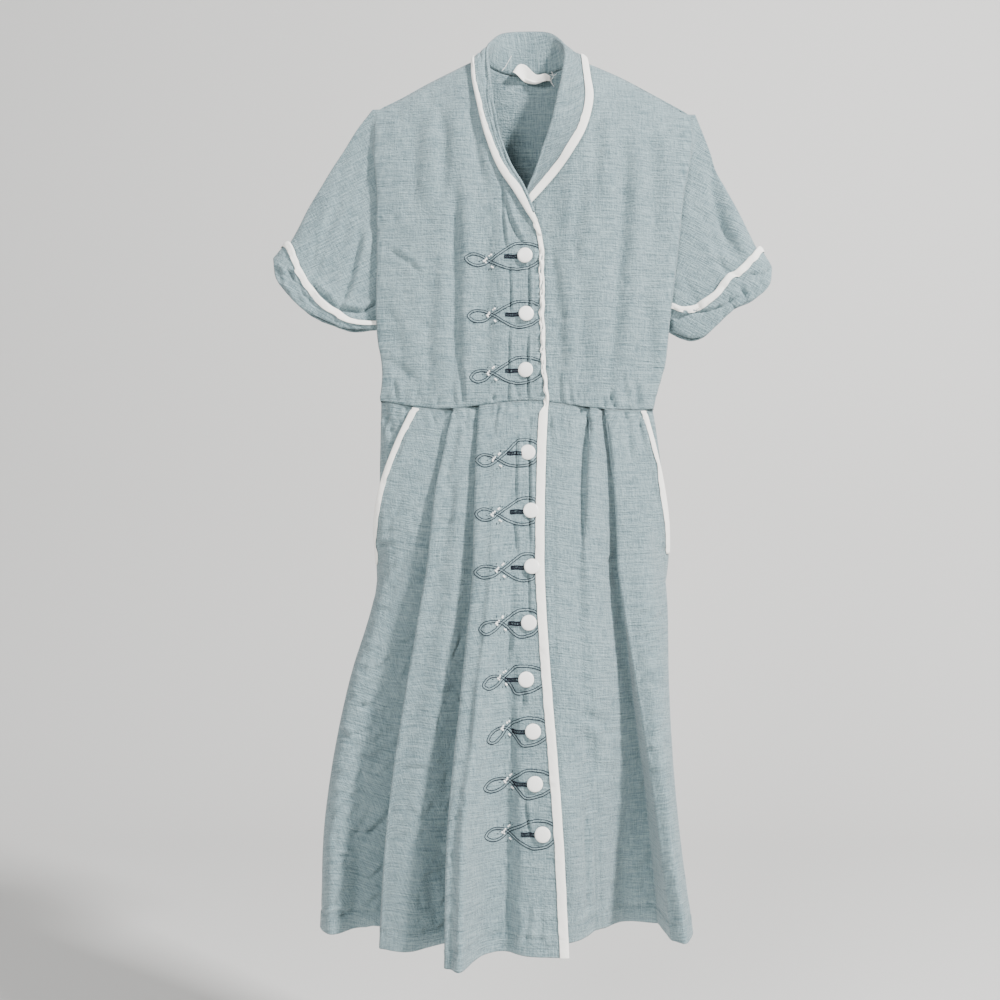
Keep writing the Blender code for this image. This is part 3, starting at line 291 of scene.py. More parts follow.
# Fineness of the surfaces
CELL = 3.6                    # size of a cell of cloth
EDGE_STEPS = 3                # cells of a skirt front under the binding of its edge
HEM_ROWS = 16
COLUMN_CROWDING = 1.3         # power that crowds the bodice's columns towards the free edge
UPPER_ROWS = 82
LOWER_ROWS = 42
BODY_COLUMNS = 88
SHOULDER_COLUMNS = 44
NECK_STEPS = 5                # steps between two points of the back neck
SLEEVE_COLUMNS = 52
HAIRPIN_STEPS = 3
LINE_STEPS = 12               # steps between two points of an outline
COLLAR_STEPS = [7, 8, 8, 9, 8, 8, 6, 7, 7, 7, 7, 6, 8, 8, 7, 7, 6, 7, 6]
CLOTH_WALL = 1.2              # thickness of the cloth in the render
BINDING_CLOTH = 0.75          # the same of the folded binding
LABEL_CLOTH = 0.5
HEM_DEPTH = 20.0              # from the hem up to its stitches
JOIN_DISTANCE = 0.02          # points of neighbouring grids this close become one
FRONT = (0, -1, 0)
REAR = (0, 1, 0)

# A crease is a trough with a lower ridge beside it
CREASE_FADE = 0.3             # share of its length over which each end fades
RIDGE_AT = 1.9                # place of the ridge, in widths of the trough
RIDGE_WIDTH = 1.3
RIDGE_HEIGHT = 0.55           # in depths of the trough
FACING_START = 0.25           # how squarely cloth faces the camera where creases begin to show
FACING_FADE = 0.45            # and how much more so where they show in full
# Crinkle of the cloth: height, size of its patches in x, y, z, and its share on cloth that is
# turned away
CRINKLE = [(1.0, (26, 40, 75), 0.3), (0.5, (9, 20, 24), 0.5), (0.42, (15, 15, 6.5), 0),
           (0.3, (8, 9, 8), 0)]
# Spread of the scattered creases round their size: length, bend as a share of it, width, depth
SPREAD = {"length": (0.5, 1.5), "bend": (-0.08, 0.08), "width": (0.7, 1.4), "depth": (0.3, 1.2)}

# Where the photo was taken from
EYE = (-45.5, -1550.0, -565.5)

# Colours
LINEN = (0.212, 0.295, 0.316)
LINEN_DARK = (0.098, 0.162, 0.183)
LINEN_LIGHT = (0.312, 0.418, 0.44)
WHITE = (0.95, 0.93, 0.87)
PEARL = (0.95, 0.94, 0.9)
NAVY = (0.009, 0.011, 0.019)
KNOT_WHITE = (1.0, 0.99, 0.96)
LINEN_THREAD = (0.2, 0.27, 0.29)
BACKDROP = (0.72, 0.71, 0.69)
SKY = (0.95, 0.97, 1.0)


def unit(vectors):
    """Vectors of length one along the last axis."""
    vectors = np.asarray(vectors, float)
    return vectors / np.maximum(np.linalg.norm(vectors, axis=-1, keepdims=True), 1e-9)


def smooth(value):
    """Eased step from 0 to 1."""
    value = np.clip(value, 0, 1)
    return value * value * (3 - 2 * value)


def hermite(knots, values, at):
    """Smooth curve through values at rising knots, read at one place."""
    knots = np.asarray(knots, float)
    values = np.asarray(values, float)
    at = min(max(at, knots[0]), knots[-1])
    index = int(np.clip(np.searchsorted(knots, at) - 1, 0, len(knots) - 2))
    rise = np.diff(values, axis=0) / np.diff(knots).reshape((-1,) + (1,) * (values.ndim - 1))

    def slope(i):
        """Slope at a knot: that of the stretch at an end, or the mean of the two beside it."""
        if i == 0:
            return rise[0]
        if i == len(knots) - 1:
            return rise[-1]
        return (rise[i - 1] + rise[i]) / 2

    span = knots[index + 1] - knots[index]
    t = (at - knots[index]) / span
    return ((2 * t**3 - 3 * t**2 + 1) * values[index] + (t**3 - 2 * t**2 + t) * span * slope(index)
            + (3 * t**2 - 2 * t**3) * values[index + 1] + (t**3 - t**2) * span * slope(index + 1))


def through(points, steps):
    """Centripetal curve through the points, with a number of steps for each stretch."""
    points = np.asarray(points, float)
    steps = [steps] * (len(points) - 1) if np.isscalar(steps) else steps
    ends = np.vstack([2 * points[0] - points[1], points, 2 * points[-1] - points[-2]])
    gaps = np.maximum(np.linalg.norm(np.diff(ends, axis=0), axis=1), 1e-6) ** 0.5
    knots = np.concatenate([[0], np.cumsum(gaps)])
    curve = []
    for i, count in enumerate(steps):
        p0, p1, p2, p3 = ends[i:i + 4]
        t0, t1, t2, t3 = knots[i:i + 4]
        for t in np.linspace(t1, t2, count, endpoint=False):
            a1 = ((t1 - t) * p0 + (t - t0) * p1) / (t1 - t0)
            a2 = ((t2 - t) * p1 + (t - t1) * p2) / (t2 - t1)
            a3 = ((t3 - t) * p2 + (t - t2) * p3) / (t3 - t2)
            b1 = ((t2 - t) * a1 + (t - t0) * a2) / (t2 - t0)
            b2 = ((t3 - t) * a2 + (t - t1) * a3) / (t3 - t1)
            curve.append(((t2 - t) * b1 + (t - t1) * b2) / (t2 - t1))
    curve.append(points[-1])
    return np.array(curve)


def lengths(grid, axis=0):
    """Distance run along one axis of a grid or a line of points."""
    steps = np.linalg.norm(np.diff(grid, axis=axis), axis=-1)
    start = np.zeros_like(np.take(steps, [0], axis=axis))
    return np.concatenate([start, np.cumsum(steps, axis=axis)], axis=axis)


def read_line(line, keys, at):
    """Points of a line at places on a rising scale that its own points have."""
    return np.stack([np.interp(at, keys, column) for column in line.T], axis=-1)


def along(points, shares):
    """Points at the given shares of a smooth line's length."""
    line = through(points, LINE_STEPS)
    length = lengths(line)
    return read_line(line, length, np.asarray(shares, float) * length[-1])


def at_height(line, z):
    """Point of a line that runs downwards, at a height."""
    return read_line(line, -line[:, 2], -z)


@functools.lru_cache(maxsize=None)
def smooth_line(points):
    """Smooth curve through a tuple of points, kept for the next call."""
    return through(points, LINE_STEPS)


def x_at(points, z):
    """The x of a line of x, z that runs downwards, at a height."""
    line = smooth_line(tuple(points))
    return float(np.interp(-z, -line[:, 1], line[:, 0]))


def z_at(points, x):
    """The z of a line of x, z that runs across, at an x."""
    line = smooth_line(tuple(points))
    return float(np.interp(x, line[:, 0], line[:, 1]))


def chest(side, x, z):
    """Depth of the bodice front: it comes forward below the shoulder seam."""
    fold = x_at(SIDE_FOLD[side], z)
    share = np.clip((x - FRONT_CENTRE) / (fold - FRONT_CENTRE), 0, 1.1)
    full = FRONT_DEPTH - (FRONT_DEPTH - SIDE_DEPTH) * share**DEPTH_POWER
    drop = max(z_at(SHOULDER_LINE, x) - z, 0)
    depth = -(SEAM_HALF + full * (1 - math.exp(-drop / SHOULDER_EASE)))
    if side == "right":
        return depth
    lap = float(np.interp(z, *zip(*LAP)))
    return depth + lap * (1 - float(smooth((x - LAP_FADE_START) / LAP_FADE)))


def back_depth(x, z, top):
    """Depth of the bodice back below a point of its top edge."""
    share = abs(x - BACK_CENTRE) / BACK_HALF
    full = BACK_DEPTH - (BACK_DEPTH - BACK_SIDE_DEPTH) * min(share, 1.05)**DEPTH_POWER
    drop = max(top[2] - z, 0)
    return top[1] + (full - top[1]) * (1 - math.exp(-drop / SHOULDER_EASE))


def row_shares():
    """Each body row as (share of the way to the underarm, share from there to the waist)."""
    upper = [(r / (UPPER_ROWS - 1), 0.0) for r in range(UPPER_ROWS)]
    lower = [(1.0, r / LOWER_ROWS) for r in range(1, LOWER_ROWS)]
    stiff = 1 - SEAM_ROW / (UNDERARM - WAIST)
    return upper + lower + [(1.0, stiff), (1.0, 1.0)]


def level(top, waist, shares):
    """Height of a row at one end, from its top and its waist."""
    upper, lower = shares
    return top + (UNDERARM - top) * upper if upper < 1 else UNDERARM + (waist - UNDERARM) * lower


def side_hairpin(side, shares, depth, layers):
    """Fold over the sleeve and the tuck behind it, for one row: points x, y, z.

    layers is +1 on the front, where the tuck lies towards the back, and -1 on the back.
    """
    upper, lower = shares
    fold_line = SIDE_FOLD[side]
    waist = z_at(WAIST_LINE, fold_line[-1][0]) + WAIST_GAP / 2
    z = level(fold_line[0][1], waist, shares)
    x = x_at(fold_line, z)
    inward = 1 if side == "right" else -1
    if upper < 1:
        lap = float(hermite(*zip(*SLEEVE_LAP), upper))
    else:
        lap = SLEEVE_LAP[-1][1] + (SIDE_TUCK - SLEEVE_LAP[-1][1]) * lower
    behind = SEAM_HALF
    if upper < 1:
        behind = float(hermite(*zip(*ARMHOLE_DEPTH), upper))
        behind = behind if layers > 0 else SEAM_HALF + (behind - SEAM_HALF) * BACK_ARMHOLE
    turn = min(HAIRPIN_TURN, max(0.0, (abs(depth) - behind) / 4))
    tuck = depth + layers * 2 * turn
    valley = -layers * behind
    lapped = float(smooth(lap / HAIRPIN_FULL))
    points = []
    for flat, fixed, share, front_share, tuck_share, valley_share in HAIRPIN:
        across = flat + (fixed + lap * share - flat) * lapped
        y = depth * front_share + tuck * tuck_share + valley * valley_share
        points.append((x + inward * across, y, z))
    return list(through(points, HAIRPIN_STEPS))


def sleeve(side, armhole, layers):
    """Sleeve half as rows from the overarm to the underarm, columns from armhole to cuff."""
    count = len(armhole)
    shares = np.linspace(0, 1, count)
    across = np.linspace(0, 1, SLEEVE_COLUMNS)
    seam = -layers * SEAM_HALF
    top = along([armhole[0][[0, 2]]] + OVERARM[side][1:], across)
    round_shares = (1 - np.cos(np.pi * shares)) / 2
    end = along(SLEEVE_END[side], round_shares)
    low = along([armhole[-1][[0, 2]], end[-1]], across)
    top = np.stack([top[:, 0], np.full(len(across), seam), top[:, 1]], axis=-1)
    low = np.stack([low[:, 0], np.full(len(across), seam), low[:, 1]], axis=-1)
    bulge = seam - layers * SLEEVE_BULGE * np.sin(np.pi * shares) * (1 - SLEEVE_FLATTER * shares)
    end = np.stack([end[:, 0], bulge, end[:, 1]], axis=-1)
    u = across[None, :, None]
    v = shares[:, None, None]
    patch = ((1 - u) * armhole[:, None] + u * end[:, None] + (1 - v) * top[None] + v * low[None]
             - (1 - u) * (1 - v) * top[0] - u * (1 - v) * top[-1]
             - (1 - u) * v * low[0] - u * v * low[-1])
    fade = smooth((across - SLEEVE_SINK["fade_start"]) / SLEEVE_SINK["fade"])
    sunk = smooth(across / SLEEVE_SINK["full"]) * (1 - fade)
    rows = smooth(shares / SLEEVE_SINK["below"]) * np.sin(np.pi * shares)
    patch[:, :, 1] += layers * SLEEVE_SINK["depth"] * rows[:, None] * sunk[None, :]
    return patch


def front_patches(side):
    """Body and sleeve of one bodice front, as grids of points."""
    edge_line, fold_line = FREE_EDGE[side], SIDE_FOLD[side]
    outward = -1 if side == "right" else 1

    def across(z_edge, z_fold):
        """Places x of a row's columns from the free edge to the fold, and their shares."""
        x_edge = x_at(edge_line, z_edge)
        x_last = x_at(fold_line, z_fold) - outward * FOLD_INSET
        inner = x_edge + outward * BINDING_WIDTH
        crowded = np.linspace(0, 1, BODY_COLUMNS - 1) ** COLUMN_CROWDING
        places = np.concatenate([[x_edge], inner + (x_last - inner) * crowded])
        return places, (places - x_edge) / (x_last - x_edge)

    def bowed(line, gap, places, spread, z_edge, z_fold):
        """How far a seam line rises above a straight row between its own ends."""
        bow = np.array([z_at(line, x) + gap for x in places]) - z_edge - (z_fold - z_edge) * spread
        return bow - bow[0] - (bow[-1] - bow[0]) * spread

    waist = z_at(WAIST_LINE, edge_line[-1][0]) + WAIST_GAP / 2
    top, low = (edge_line[0][1], fold_line[0][1]), (waist, fold_line[-1][1])
    shoulder_bow = bowed(SHOULDER_LINE, 0, *across(*top), *top)
    waist_bow = bowed(WAIST_LINE, WAIST_GAP / 2, *across(*low), *low)
    rows = []
    for shares in row_shares():
        z_edge = level(edge_line[0][1], waist, shares)
        z_fold = level(fold_line[0][1], fold_line[-1][1], shares)
        places, spread = across(z_edge, z_fold)
        heights = (z_edge + (z_fold - z_edge) * spread + shoulder_bow * (1 - shares[0]) ** 3
                   + waist_bow * shares[1] ** 3)
        row = [(x, chest(side, x, z), z) for x, z in zip(places, heights)]
        rows.append(row + side_hairpin(side, shares, chest(side, x_at(fold_line, z_fold), z_fold), 1))
    body = np.array(rows)
    settle_waist(body)
    return body, sleeve(side, body[:UPPER_ROWS, -1], 1)


def settle_waist(body):
    """The last two rows stand upright, so that the seam meets the skirt squarely."""
    body[-2, :, :2] = body[-1, :, :2]
    body[-1, :, 2] = [z_at(WAIST_LINE, x) + WAIST_GAP / 2 for x in body[-1, :, 0]]
    body[-2, :, 2] = body[-1, :, 2] + SEAM_ROW


def back_patches():
    """Body and both sleeve backs, as grids of points from the right side to the left."""
    first_x, last_x = SIDE_FOLD["right"][0][0] + FOLD_INSET, SIDE_FOLD["left"][0][0] - FOLD_INSET
    right_x = np.linspace(first_x, BACK_NECK[0][0], SHOULDER_COLUMNS)[:-1]
    left_x = np.linspace(BACK_NECK[-1][0], last_x, SHOULDER_COLUMNS)[1:]
    tops = [(x, SEAM_HALF, z_at(SHOULDER_LINE, x)) for x in right_x]
    tops += [tuple(p) for p in through(BACK_NECK, NECK_STEPS)]
    tops += [(x, SEAM_HALF, z_at(SHOULDER_LINE, x)) for x in left_x]
    rows = []
    for shares in row_shares():
        z_right = level(SIDE_FOLD["right"][0][1], SIDE_FOLD["right"][-1][1], shares)
        z_left = level(SIDE_FOLD["left"][0][1], SIDE_FOLD["left"][-1][1], shares)
        x_right = x_at(SIDE_FOLD["right"], z_right)
        x_left = x_at(SIDE_FOLD["left"], z_left)
        row = []
        for top in tops:
            share = (top[0] - first_x) / (last_x - first_x)
            x = x_right + FOLD_INSET + (x_left - x_right - 2 * FOLD_INSET) * share
            z = level(top[2], z_at(WAIST_LINE, x) + WAIST_GAP / 2, shares)
            row.append((x, back_depth(x, z, top), z))
        right = side_hairpin("right", shares, back_depth(x_right, z_right, tops[0]), -1)
        left = side_hairpin("left", shares, back_depth(x_left, z_left, tops[-1]), -1)
        rows.append(right[::-1] + row + left)
    body = np.array(rows)
    settle_waist(body)
    return (body, sleeve("right", body[:UPPER_ROWS, 0], -1),
            sleeve("left", body[:UPPER_ROWS, -1], -1))


def expand(section):
    """Key points of one skirt section: each fold as its two turns and a point either side."""
    points = []
    for entry in section:
        if len(entry) == 2:
            points.append(entry)
            continue
        valley, ridge = np.array(entry[:2], float), np.array(entry[2:], float)
        turn = (0, min(PLEAT_TURN, PLEAT_TURN_SHARE * (valley[1] - ridge[1])))
        slope = (ridge - valley) * PLEAT_THIRD
        open_share = float(smooth((ridge[0] - valley[0]) / PLEAT_OPEN))
        behind = valley - turn + (slope + turn) * open_share
        front = ridge + turn - (slope + turn) * open_share
        points += [(min(valley[0], ridge[0]) - PLEAT_REACH, valley[1]), valley, behind, front,
                   ridge, (max(valley[0], ridge[0]) + PLEAT_REACH, ridge[1])]
    return points


def stretch_steps(sections):
    """Steps for each stretch between key points, so that its cells stay near one size."""
    keys = np.array([expand(section[1:]) for section in sections])
    widest = np.linalg.norm(np.diff(keys, axis=1), axis=2).max(axis=0)
    return [max(2, math.ceil(length / CELL)) for length in widest]


def skirt_drops(lowest):
    """Drops of the rows below the waist, closer together at the seam and over the hem."""
    length = WAIST - lowest
    plain = np.linspace(0, length - HEM_DEPTH - 6, round(length / CELL))
    turned = np.linspace(length - HEM_DEPTH - 4, length, HEM_ROWS)
    return np.concatenate([[0, SEAM_ROW / 2], plain[1:], turned])


def skirt_patch(sections, drops, inset=()):
    """Grid of points from a table of sections; inset ends get a column one binding in."""
    knots = [-section[0] for section in sections]
    keys = [expand(section[1:]) for section in sections]
    steps = stretch_steps(sections)
    grid = []
    for drop in drops:
        z = WAIST - drop
        points = hermite(knots, keys, drop - WAIST if drop > STRAIGHT_DROP else -WAIST)
        counts = list(steps)
        if "last" in inset:
            back = inset_point(points[-1], points[-2])
            points = np.vstack([points[:-1], back, points[-1]])
            counts = counts + [EDGE_STEPS]
        if "first" in inset:
            points = np.vstack([points[0], inset_point(points[0], points[1]), points[1:]])
            counts = [EDGE_STEPS] + counts
        line = through(points, counts)
        sink = max(0.0, 1 - drop / SEAM_FADE)
        heights = [z + (z_at(WAIST_LINE, x) - WAIST_GAP / 2 - WAIST) * sink for x in line[:, 0]]
        grid.append(np.column_stack([line, heights]))
    return np.array(grid)


def inset_point(edge, inner):
    """Point one binding in from an edge, or three quarters of the way to the next point."""
    reach = np.linalg.norm(inner - edge)
    return edge + (inner - edge) / reach * min(BINDING_WIDTH, 0.75 * reach)


def outward_normals(grid, facing):
    """Unit normal at each point of a grid, turned so that most of them face a direction."""
    normals = unit(np.cross(np.gradient(grid, axis=1), np.gradient(grid, axis=0)))
    return normals if np.sum(normals @ np.array(facing, float)) > 0 else -normals


def collar_patch(neck_edges):
    """Collar grid: stations from the right front to the left, columns from seam to bound edge."""
    places = []
    for i, station in enumerate(COLLAR):
        side = "right" if i < COLLAR_SHOULDER else "left"
        lifts = (0, COLLAR_LIFT / 2, COLLAR_LIFT)
        places.append([(x, chest(side, x, z) - lift if y is None else y, z)
                       for (x, y, z), lift in zip(station, lifts)])
    places = np.array(places)
    seam, roll, edge = (through(places[:, k], COLLAR_STEPS) for k in range(3))
    front_ends = {"right": (0, sum(COLLAR_STEPS[:6])), "left": (sum(COLLAR_STEPS[:12]) + 1, None)}
    for side, (start, stop) in front_ends.items():
        line = neck_edges[side]
        for point in seam[start:stop]:
            point[:2] = at_height(line, point[2])[:2]
    rise = unit(roll - (seam + edge) / 2)
    across = unit(np.cross(rise, np.gradient(roll, axis=0)))
    for _ in range(3):
        across[1:-1] = unit(across[:-2] + 2 * across[1:-1] + across[2:])
    seam = seam + unit(roll - seam) * COLLAR_SEAM_GAP
    inner = roll - across * COLLAR_ROLL - rise * COLLAR_ROLL_DROP
    outer = roll + across * COLLAR_ROLL - rise * COLLAR_ROLL_DROP
    reach = np.linalg.norm(outer - edge, axis=1, keepdims=True)
    inset = edge + unit(outer - edge) * np.minimum(BINDING_WIDTH, 0.7 * reach)
    return np.stack([seam, inner, roll, outer, inset, edge], axis=1)


def cuff_patch(side, front_sleeve, back_sleeve):
    """Turned-up cuff round a sleeve end: rows from the inside of the fold to the bound edge.

    It runs from the front's underarm seam over the arm to the back's, and is open there.
    """
    count = len(front_sleeve)
    half = np.interp(np.linspace(0, 1, count), np.linspace(0, 1, len(CUFF_WIDTH[side])),
                     CUFF_WIDTH[side])

    def loop_at(distances):
        """Line round the sleeve at these distances from its end, for each of its rows."""
        lines = []
        for patch in (front_sleeve, back_sleeve):
            line = np.array([read_line(row, lengths(row), distance)
                             for row, distance in zip(patch[:, ::-1], distances)])
            line[-1] = (line[-1] + line[-2]) / 2
            lines.append(line)
        front, back = lines
        return np.vstack([front[:0:-1], (front[0] + back[0]) / 2, back[1:]])

    def frame_at(distances):
        """Outward normals of the sleeve along that line, and the way to its end."""
        loop, above = loop_at(distances), loop_at(distances + 6.0)
        tangent = unit(np.gradient(loop, axis=0))
        normals = unit(np.cross(tangent, above - loop))
        normals = normals * np.sign(np.sum(normals * (loop - loop.mean(axis=0))))
        normals[1:-1] = unit(normals[:-2] + 2 * normals[1:-1] + normals[2:])
        away = unit(np.cross(normals, tangent))
        return normals, away * -np.sign(np.sum(away * (above - loop)))

    same = np.zeros(count)
    inset = np.maximum(half - BINDING_WIDTH * 0.9, half * 0.5)
    end_normals, away = frame_at(same)
    rows = [loop_at(same) + away * beyond + end_normals * off
            for beyond, off in CUFF_ROLL]
    facing = []
    for distances, off in ((inset * 0.5, CUFF_START_LIFT), (inset, CUFF_LIFT), (half, CUFF_LIFT)):
        normals, _ = frame_at(distances)
        rows.append(loop_at(distances) + normals * off)
        facing.append(normals)
    return np.array(rows), facing[1:]


def label_patch():
    """Curled strip inside the back neck, held along its upper edge."""
    down, across = np.meshgrid(np.linspace(0, 1, 5), np.linspace(0, 1, 8), indexing="ij")
    x = LABEL["left"] + (LABEL["right"] - LABEL["left"]) * across
    z = LABEL["top"] + (LABEL["bottom"] - LABEL["top"]) * down
    off = WALL / 2 + SEAM_GAP + LABEL["wall"] / 2 + LABEL_OFF
    curl = LABEL["curl"] * down ** 1.5 * (0.55 + 0.45 * np.cos(2 * np.pi * across))
    neck_y = np.interp(np.abs(x - NECK_MIDDLE), *zip(*NECK_DEPTH))
    return np.stack([x, neck_y - off - curl, z], axis=-1)


def seen(points):
    """The x, z at which points show in the plane of the shoulders, from the camera."""
    points = np.asarray(points, float)
    near = 1 + points[..., 1:2] / -EYE[1]
    eye = np.array([EYE[0], EYE[2]])
    return eye + (points[..., [0, 2]] - eye) / near


def grain(points, sizes, seed):
    """Soft noise from -1 to 1 at each point, over patches of the given sizes in x, y, z."""
    shape = points.shape[:-1]
    places = points.reshape(-1, 3) / np.array(sizes, float) + seed * 7.31
    return np.array([noise.noise(Vector(p)) for p in places]).reshape(shape)


def crease(places, start, end, bend, width, depth):
    """Height of one soft trough with a lower ridge beside it, at places x, z."""
    start, end = np.array(start, float), np.array(end, float)
    run = end - start
    length = np.linalg.norm(run)
    run = run / length
    offset = places - start
    share = (offset @ run) / length
    inside = np.clip(share, 0, 1)
    side = offset @ np.array([-run[1], run[0]]) - bend * 4 * inside * (1 - inside)
    taper = smooth(share / CREASE_FADE) * smooth((1 - share) / CREASE_FADE)
    trough = np.exp(-(side / width) ** 2)
    ridge = np.exp(-((side - RIDGE_AT * width) / (RIDGE_WIDTH * width)) ** 2)
    return depth * taper * (RIDGE_HEIGHT * ridge - trough)


def creased(places, table):
    """Sum of the creases of a table: x, z of both ends, bend, width, depth."""
    total = np.zeros(places.shape[:-1])
    for x0, z0, x1, z1, bend, width, depth in table:
        total += crease(places, (x0, z0), (x1, z1), bend, width, depth)
    return total


def scattered(seed, count, area, lean, spread, run, width, depth):
    """Table of seeded creases in an area (x, z, x, z) that lean by about one angle."""
    luck = random.Random(seed)
    table = []
    for _ in range(count):
        x, z = luck.uniform(area[0], area[2]), luck.uniform(area[1], area[3])
        angle = math.radians(luck.gauss(lean, spread))
        length = run * luck.uniform(*SPREAD["length"])
        dx, dz = math.cos(angle) * length / 2, math.sin(angle) * length / 2
        bend = luck.uniform(*SPREAD["bend"]) * length
        table.append((x - dx, z - dz, x + dx, z + dz, bend, width * luck.uniform(*SPREAD["width"]),
                      depth * luck.uniform(*SPREAD["depth"])))
    return table


def crumpled(grid, facing, table, still, seed, fine=1.0, loop=False):
    """A grid with creases and crinkle, which grow with fine.

    still gives the calm margins: top, bottom, first and last column. A loop is a grid whose rows
    run round something, so that its outside is told from its middle.
    """
    normals = outward_normals(grid, facing)
    if loop:
        outward = np.sum(normals * (grid - grid.mean(axis=0)), axis=-1)
        normals = normals * np.sign(np.sum(outward[:, grid.shape[1] // 3:]))
    facing = np.array(facing, float)
    front = smooth((normals @ facing - FACING_START) / FACING_FADE)
    down, across = lengths(grid, 0), lengths(grid, 1)
    calm = np.ones(grid.shape[:2])
    for margin, run in zip(still, (down, down[-1:] - down, across, across[:, -1:] - across)):
        if margin:
            calm = calm * smooth(run / margin)
    places = seen(grid) if facing[1] < 0 else grid[..., [0, 2]]
    height = creased(places, table) * front
    for step, (rise, sizes, least) in enumerate(CRINKLE):
        shown = least + (1 - least) * front
        height = height + fine * rise * grain(grid, sizes, seed + step) * shown
    return grid + normals * (height * calm)[..., None]


def softened(grid, passes=5):
    """A grid with the sharpest turns of its folds eased, five columns at each side kept."""
    grid = grid.copy()
    for _ in range(passes):
        eased = (grid[:, :-2] + 2 * grid[:, 1:-1] + grid[:, 2:]) / 4
        grid[:, 5:-5] = eased[:, 4:-4]
    return grid


def grid_faces(rows, columns, start=0):
    """Quads of a grid whose points are numbered row by row."""
    r, c = np.meshgrid(np.arange(rows - 1), np.arange(columns - 1), indexing="ij")
    a = (r * columns + c).ravel() + start
    return np.stack([a, a + 1, a + columns + 1, a + columns], axis=1)


def ring_faces(rings, sides, start=0):
    """Quads round a tube whose points are numbered ring by ring."""
    return [(start + r * sides + s, start + r * sides + (s + 1) % sides,
             start + (r + 1) * sides + (s + 1) % sides, start + (r + 1) * sides + s)
            for r in range(rings - 1) for s in range(sides)]


def add_mesh(name, verts, faces, finish, uvs=None):
    """An object from arrays of points in millimetres and quads or triangles."""
    data = bpy.data.meshes.new(name)
    data.from_pydata((np.asarray(verts) * MM).tolist(), [], [tuple(f) for f in faces])
    data.materials.append(finish)
    if uvs is not None:
        layer = data.uv_layers.new(name="cloth")
        loops = np.zeros(len(data.loops), dtype=np.int32)
        data.loops.foreach_get("vertex_index", loops)
        layer.data.foreach_set("uv", np.asarray(uvs)[loops].astype(np.float32).ravel())
    data.shade_smooth()
    piece = bpy.data.objects.new(name, data)
    bpy.context.scene.collection.objects.link(piece)
    return piece


def evened(values, passes=60):
    """Values over a grid with their small changes from point to point taken out."""
    for _ in range(passes):
        padded = np.pad(values, 1, mode="reflect", reflect_type="odd")
        values = (padded[:-2, 1:-1] + padded[2:, 1:-1] + padded[1:-1, :-2] + padded[1:-1, 2:]
                  + 4 * values) / 8
    return values


def thread_lines(grid, lie):
    """Cloth coordinates of a grid in metres: along the weft and along the warp.

    lie is ("upright", column): the warp hangs straight down at that column; ("edge", column):
    the warp follows that column; or ("turned", degrees): the cloth is flat and turned so far.
    """
    kind, value = lie
    if kind == "turned":
        flat = grid[..., [0, 2]] * MM
        c, s = math.cos(math.radians(value)), math.sin(math.radians(value))
        return flat @ np.array([[c, s], [-s, c]])
    across = lengths(grid, 1)
    leftward = np.sign(grid[-1, -1, 0] - grid[-1, 0, 0])
    across = evened((across - across[:, value][:, None]) * leftward)
    if kind == "upright":
        return np.stack([across + grid[:, value, 0][:, None], grid[..., 2]], axis=-1) * MM
    return np.stack([across, -evened(lengths(grid, 0))], axis=-1) * MM


def cloth(name, grids, finish, lies, wall=CLOTH_WALL):
    """A cloth piece: grids joined where their points meet, thickened, in place of its solid."""
    verts, faces, uvs = [], [], []
    start = 0
    for grid, lie in zip(grids, lies):
        rows, columns = grid.shape[:2]
        verts.append(grid.reshape(-1, 3))
        uvs.append(thread_lines(grid, lie).reshape(-1, 2))
        faces.append(grid_faces(rows, columns, start))
        start += rows * columns
    piece = add_mesh("fine_" + name, np.vstack(verts), np.vstack(faces), finish, np.vstack(uvs))
    mesh = bmesh.new()
    mesh.from_mesh(piece.data)
    bmesh.ops.remove_doubles(mesh, verts=mesh.verts, dist=JOIN_DISTANCE * MM)
    bmesh.ops.recalc_face_normals(mesh, faces=mesh.faces)
    mesh.to_mesh(piece.data)
    mesh.free()
    solid = piece.modifiers.new("Wall", "SOLIDIFY")
    solid.thickness = wall * MM
    solid.offset = 0
    solid.use_even_offset = False
    solid.use_rim = True
    settle(piece, name)


def settle(piece, node):
    """Ties a piece to the frame and puts it in place of its solid."""
    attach(piece, "root")
    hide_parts(node)


def by_height(table, heights):
    """Values of a table of falling heights, read at some heights."""
    levels, values = zip(*table)
    return np.interp(-heights, -np.array(levels), values)


def wavering(run, pace, seed):
    """Soft noise from -1 to 1 along a line, at the distances run, with bends about a pace apart."""
    return np.array([noise.noise(Vector((d / pace, seed * 2.3, 0.4))) for d in run])


def refined(grid, steps):
    """A grid with more columns, on smooth curves through each of its rows."""
    return np.array([through(row, steps) for row in grid])


# Lines of a binding from its inner side to the edge: share of its width, share of its twist
BINDING_LINES = [(1.0, 0.3), (0.93, 0.6), (0.75, 0.9), (0.55, 1.0), (0.35, 0.9), (0.17, 0.6)]
BINDING_TURN = (75, 40, 5, -30, -65)   # angles of its lines round the edge, in degrees
BINDING_PUFF = 0.35           # how much higher it stands in the middle
BINDING_LIFT = 0.05           # than along its sides
BACK_SHARE = 0.6              # share of the way to its inner side that it is turned back at most
BACK_START = 0.4              # where it lies flat on the wrong side, from the edge
# Twist of a binding: pace, lean and height of its slanting folds, pace of their sway, and pace
# and lean of the lumps between them
TWIST = {"fold": 4.6, "fold_lean": 2.2, "fold_height": 0.9, "sway": 21, "swing": 2, "level": 0.55,
         "lump": 9, "lump_lean": 1.7, "lump_change": 1.2, "seed_step": 3.7}


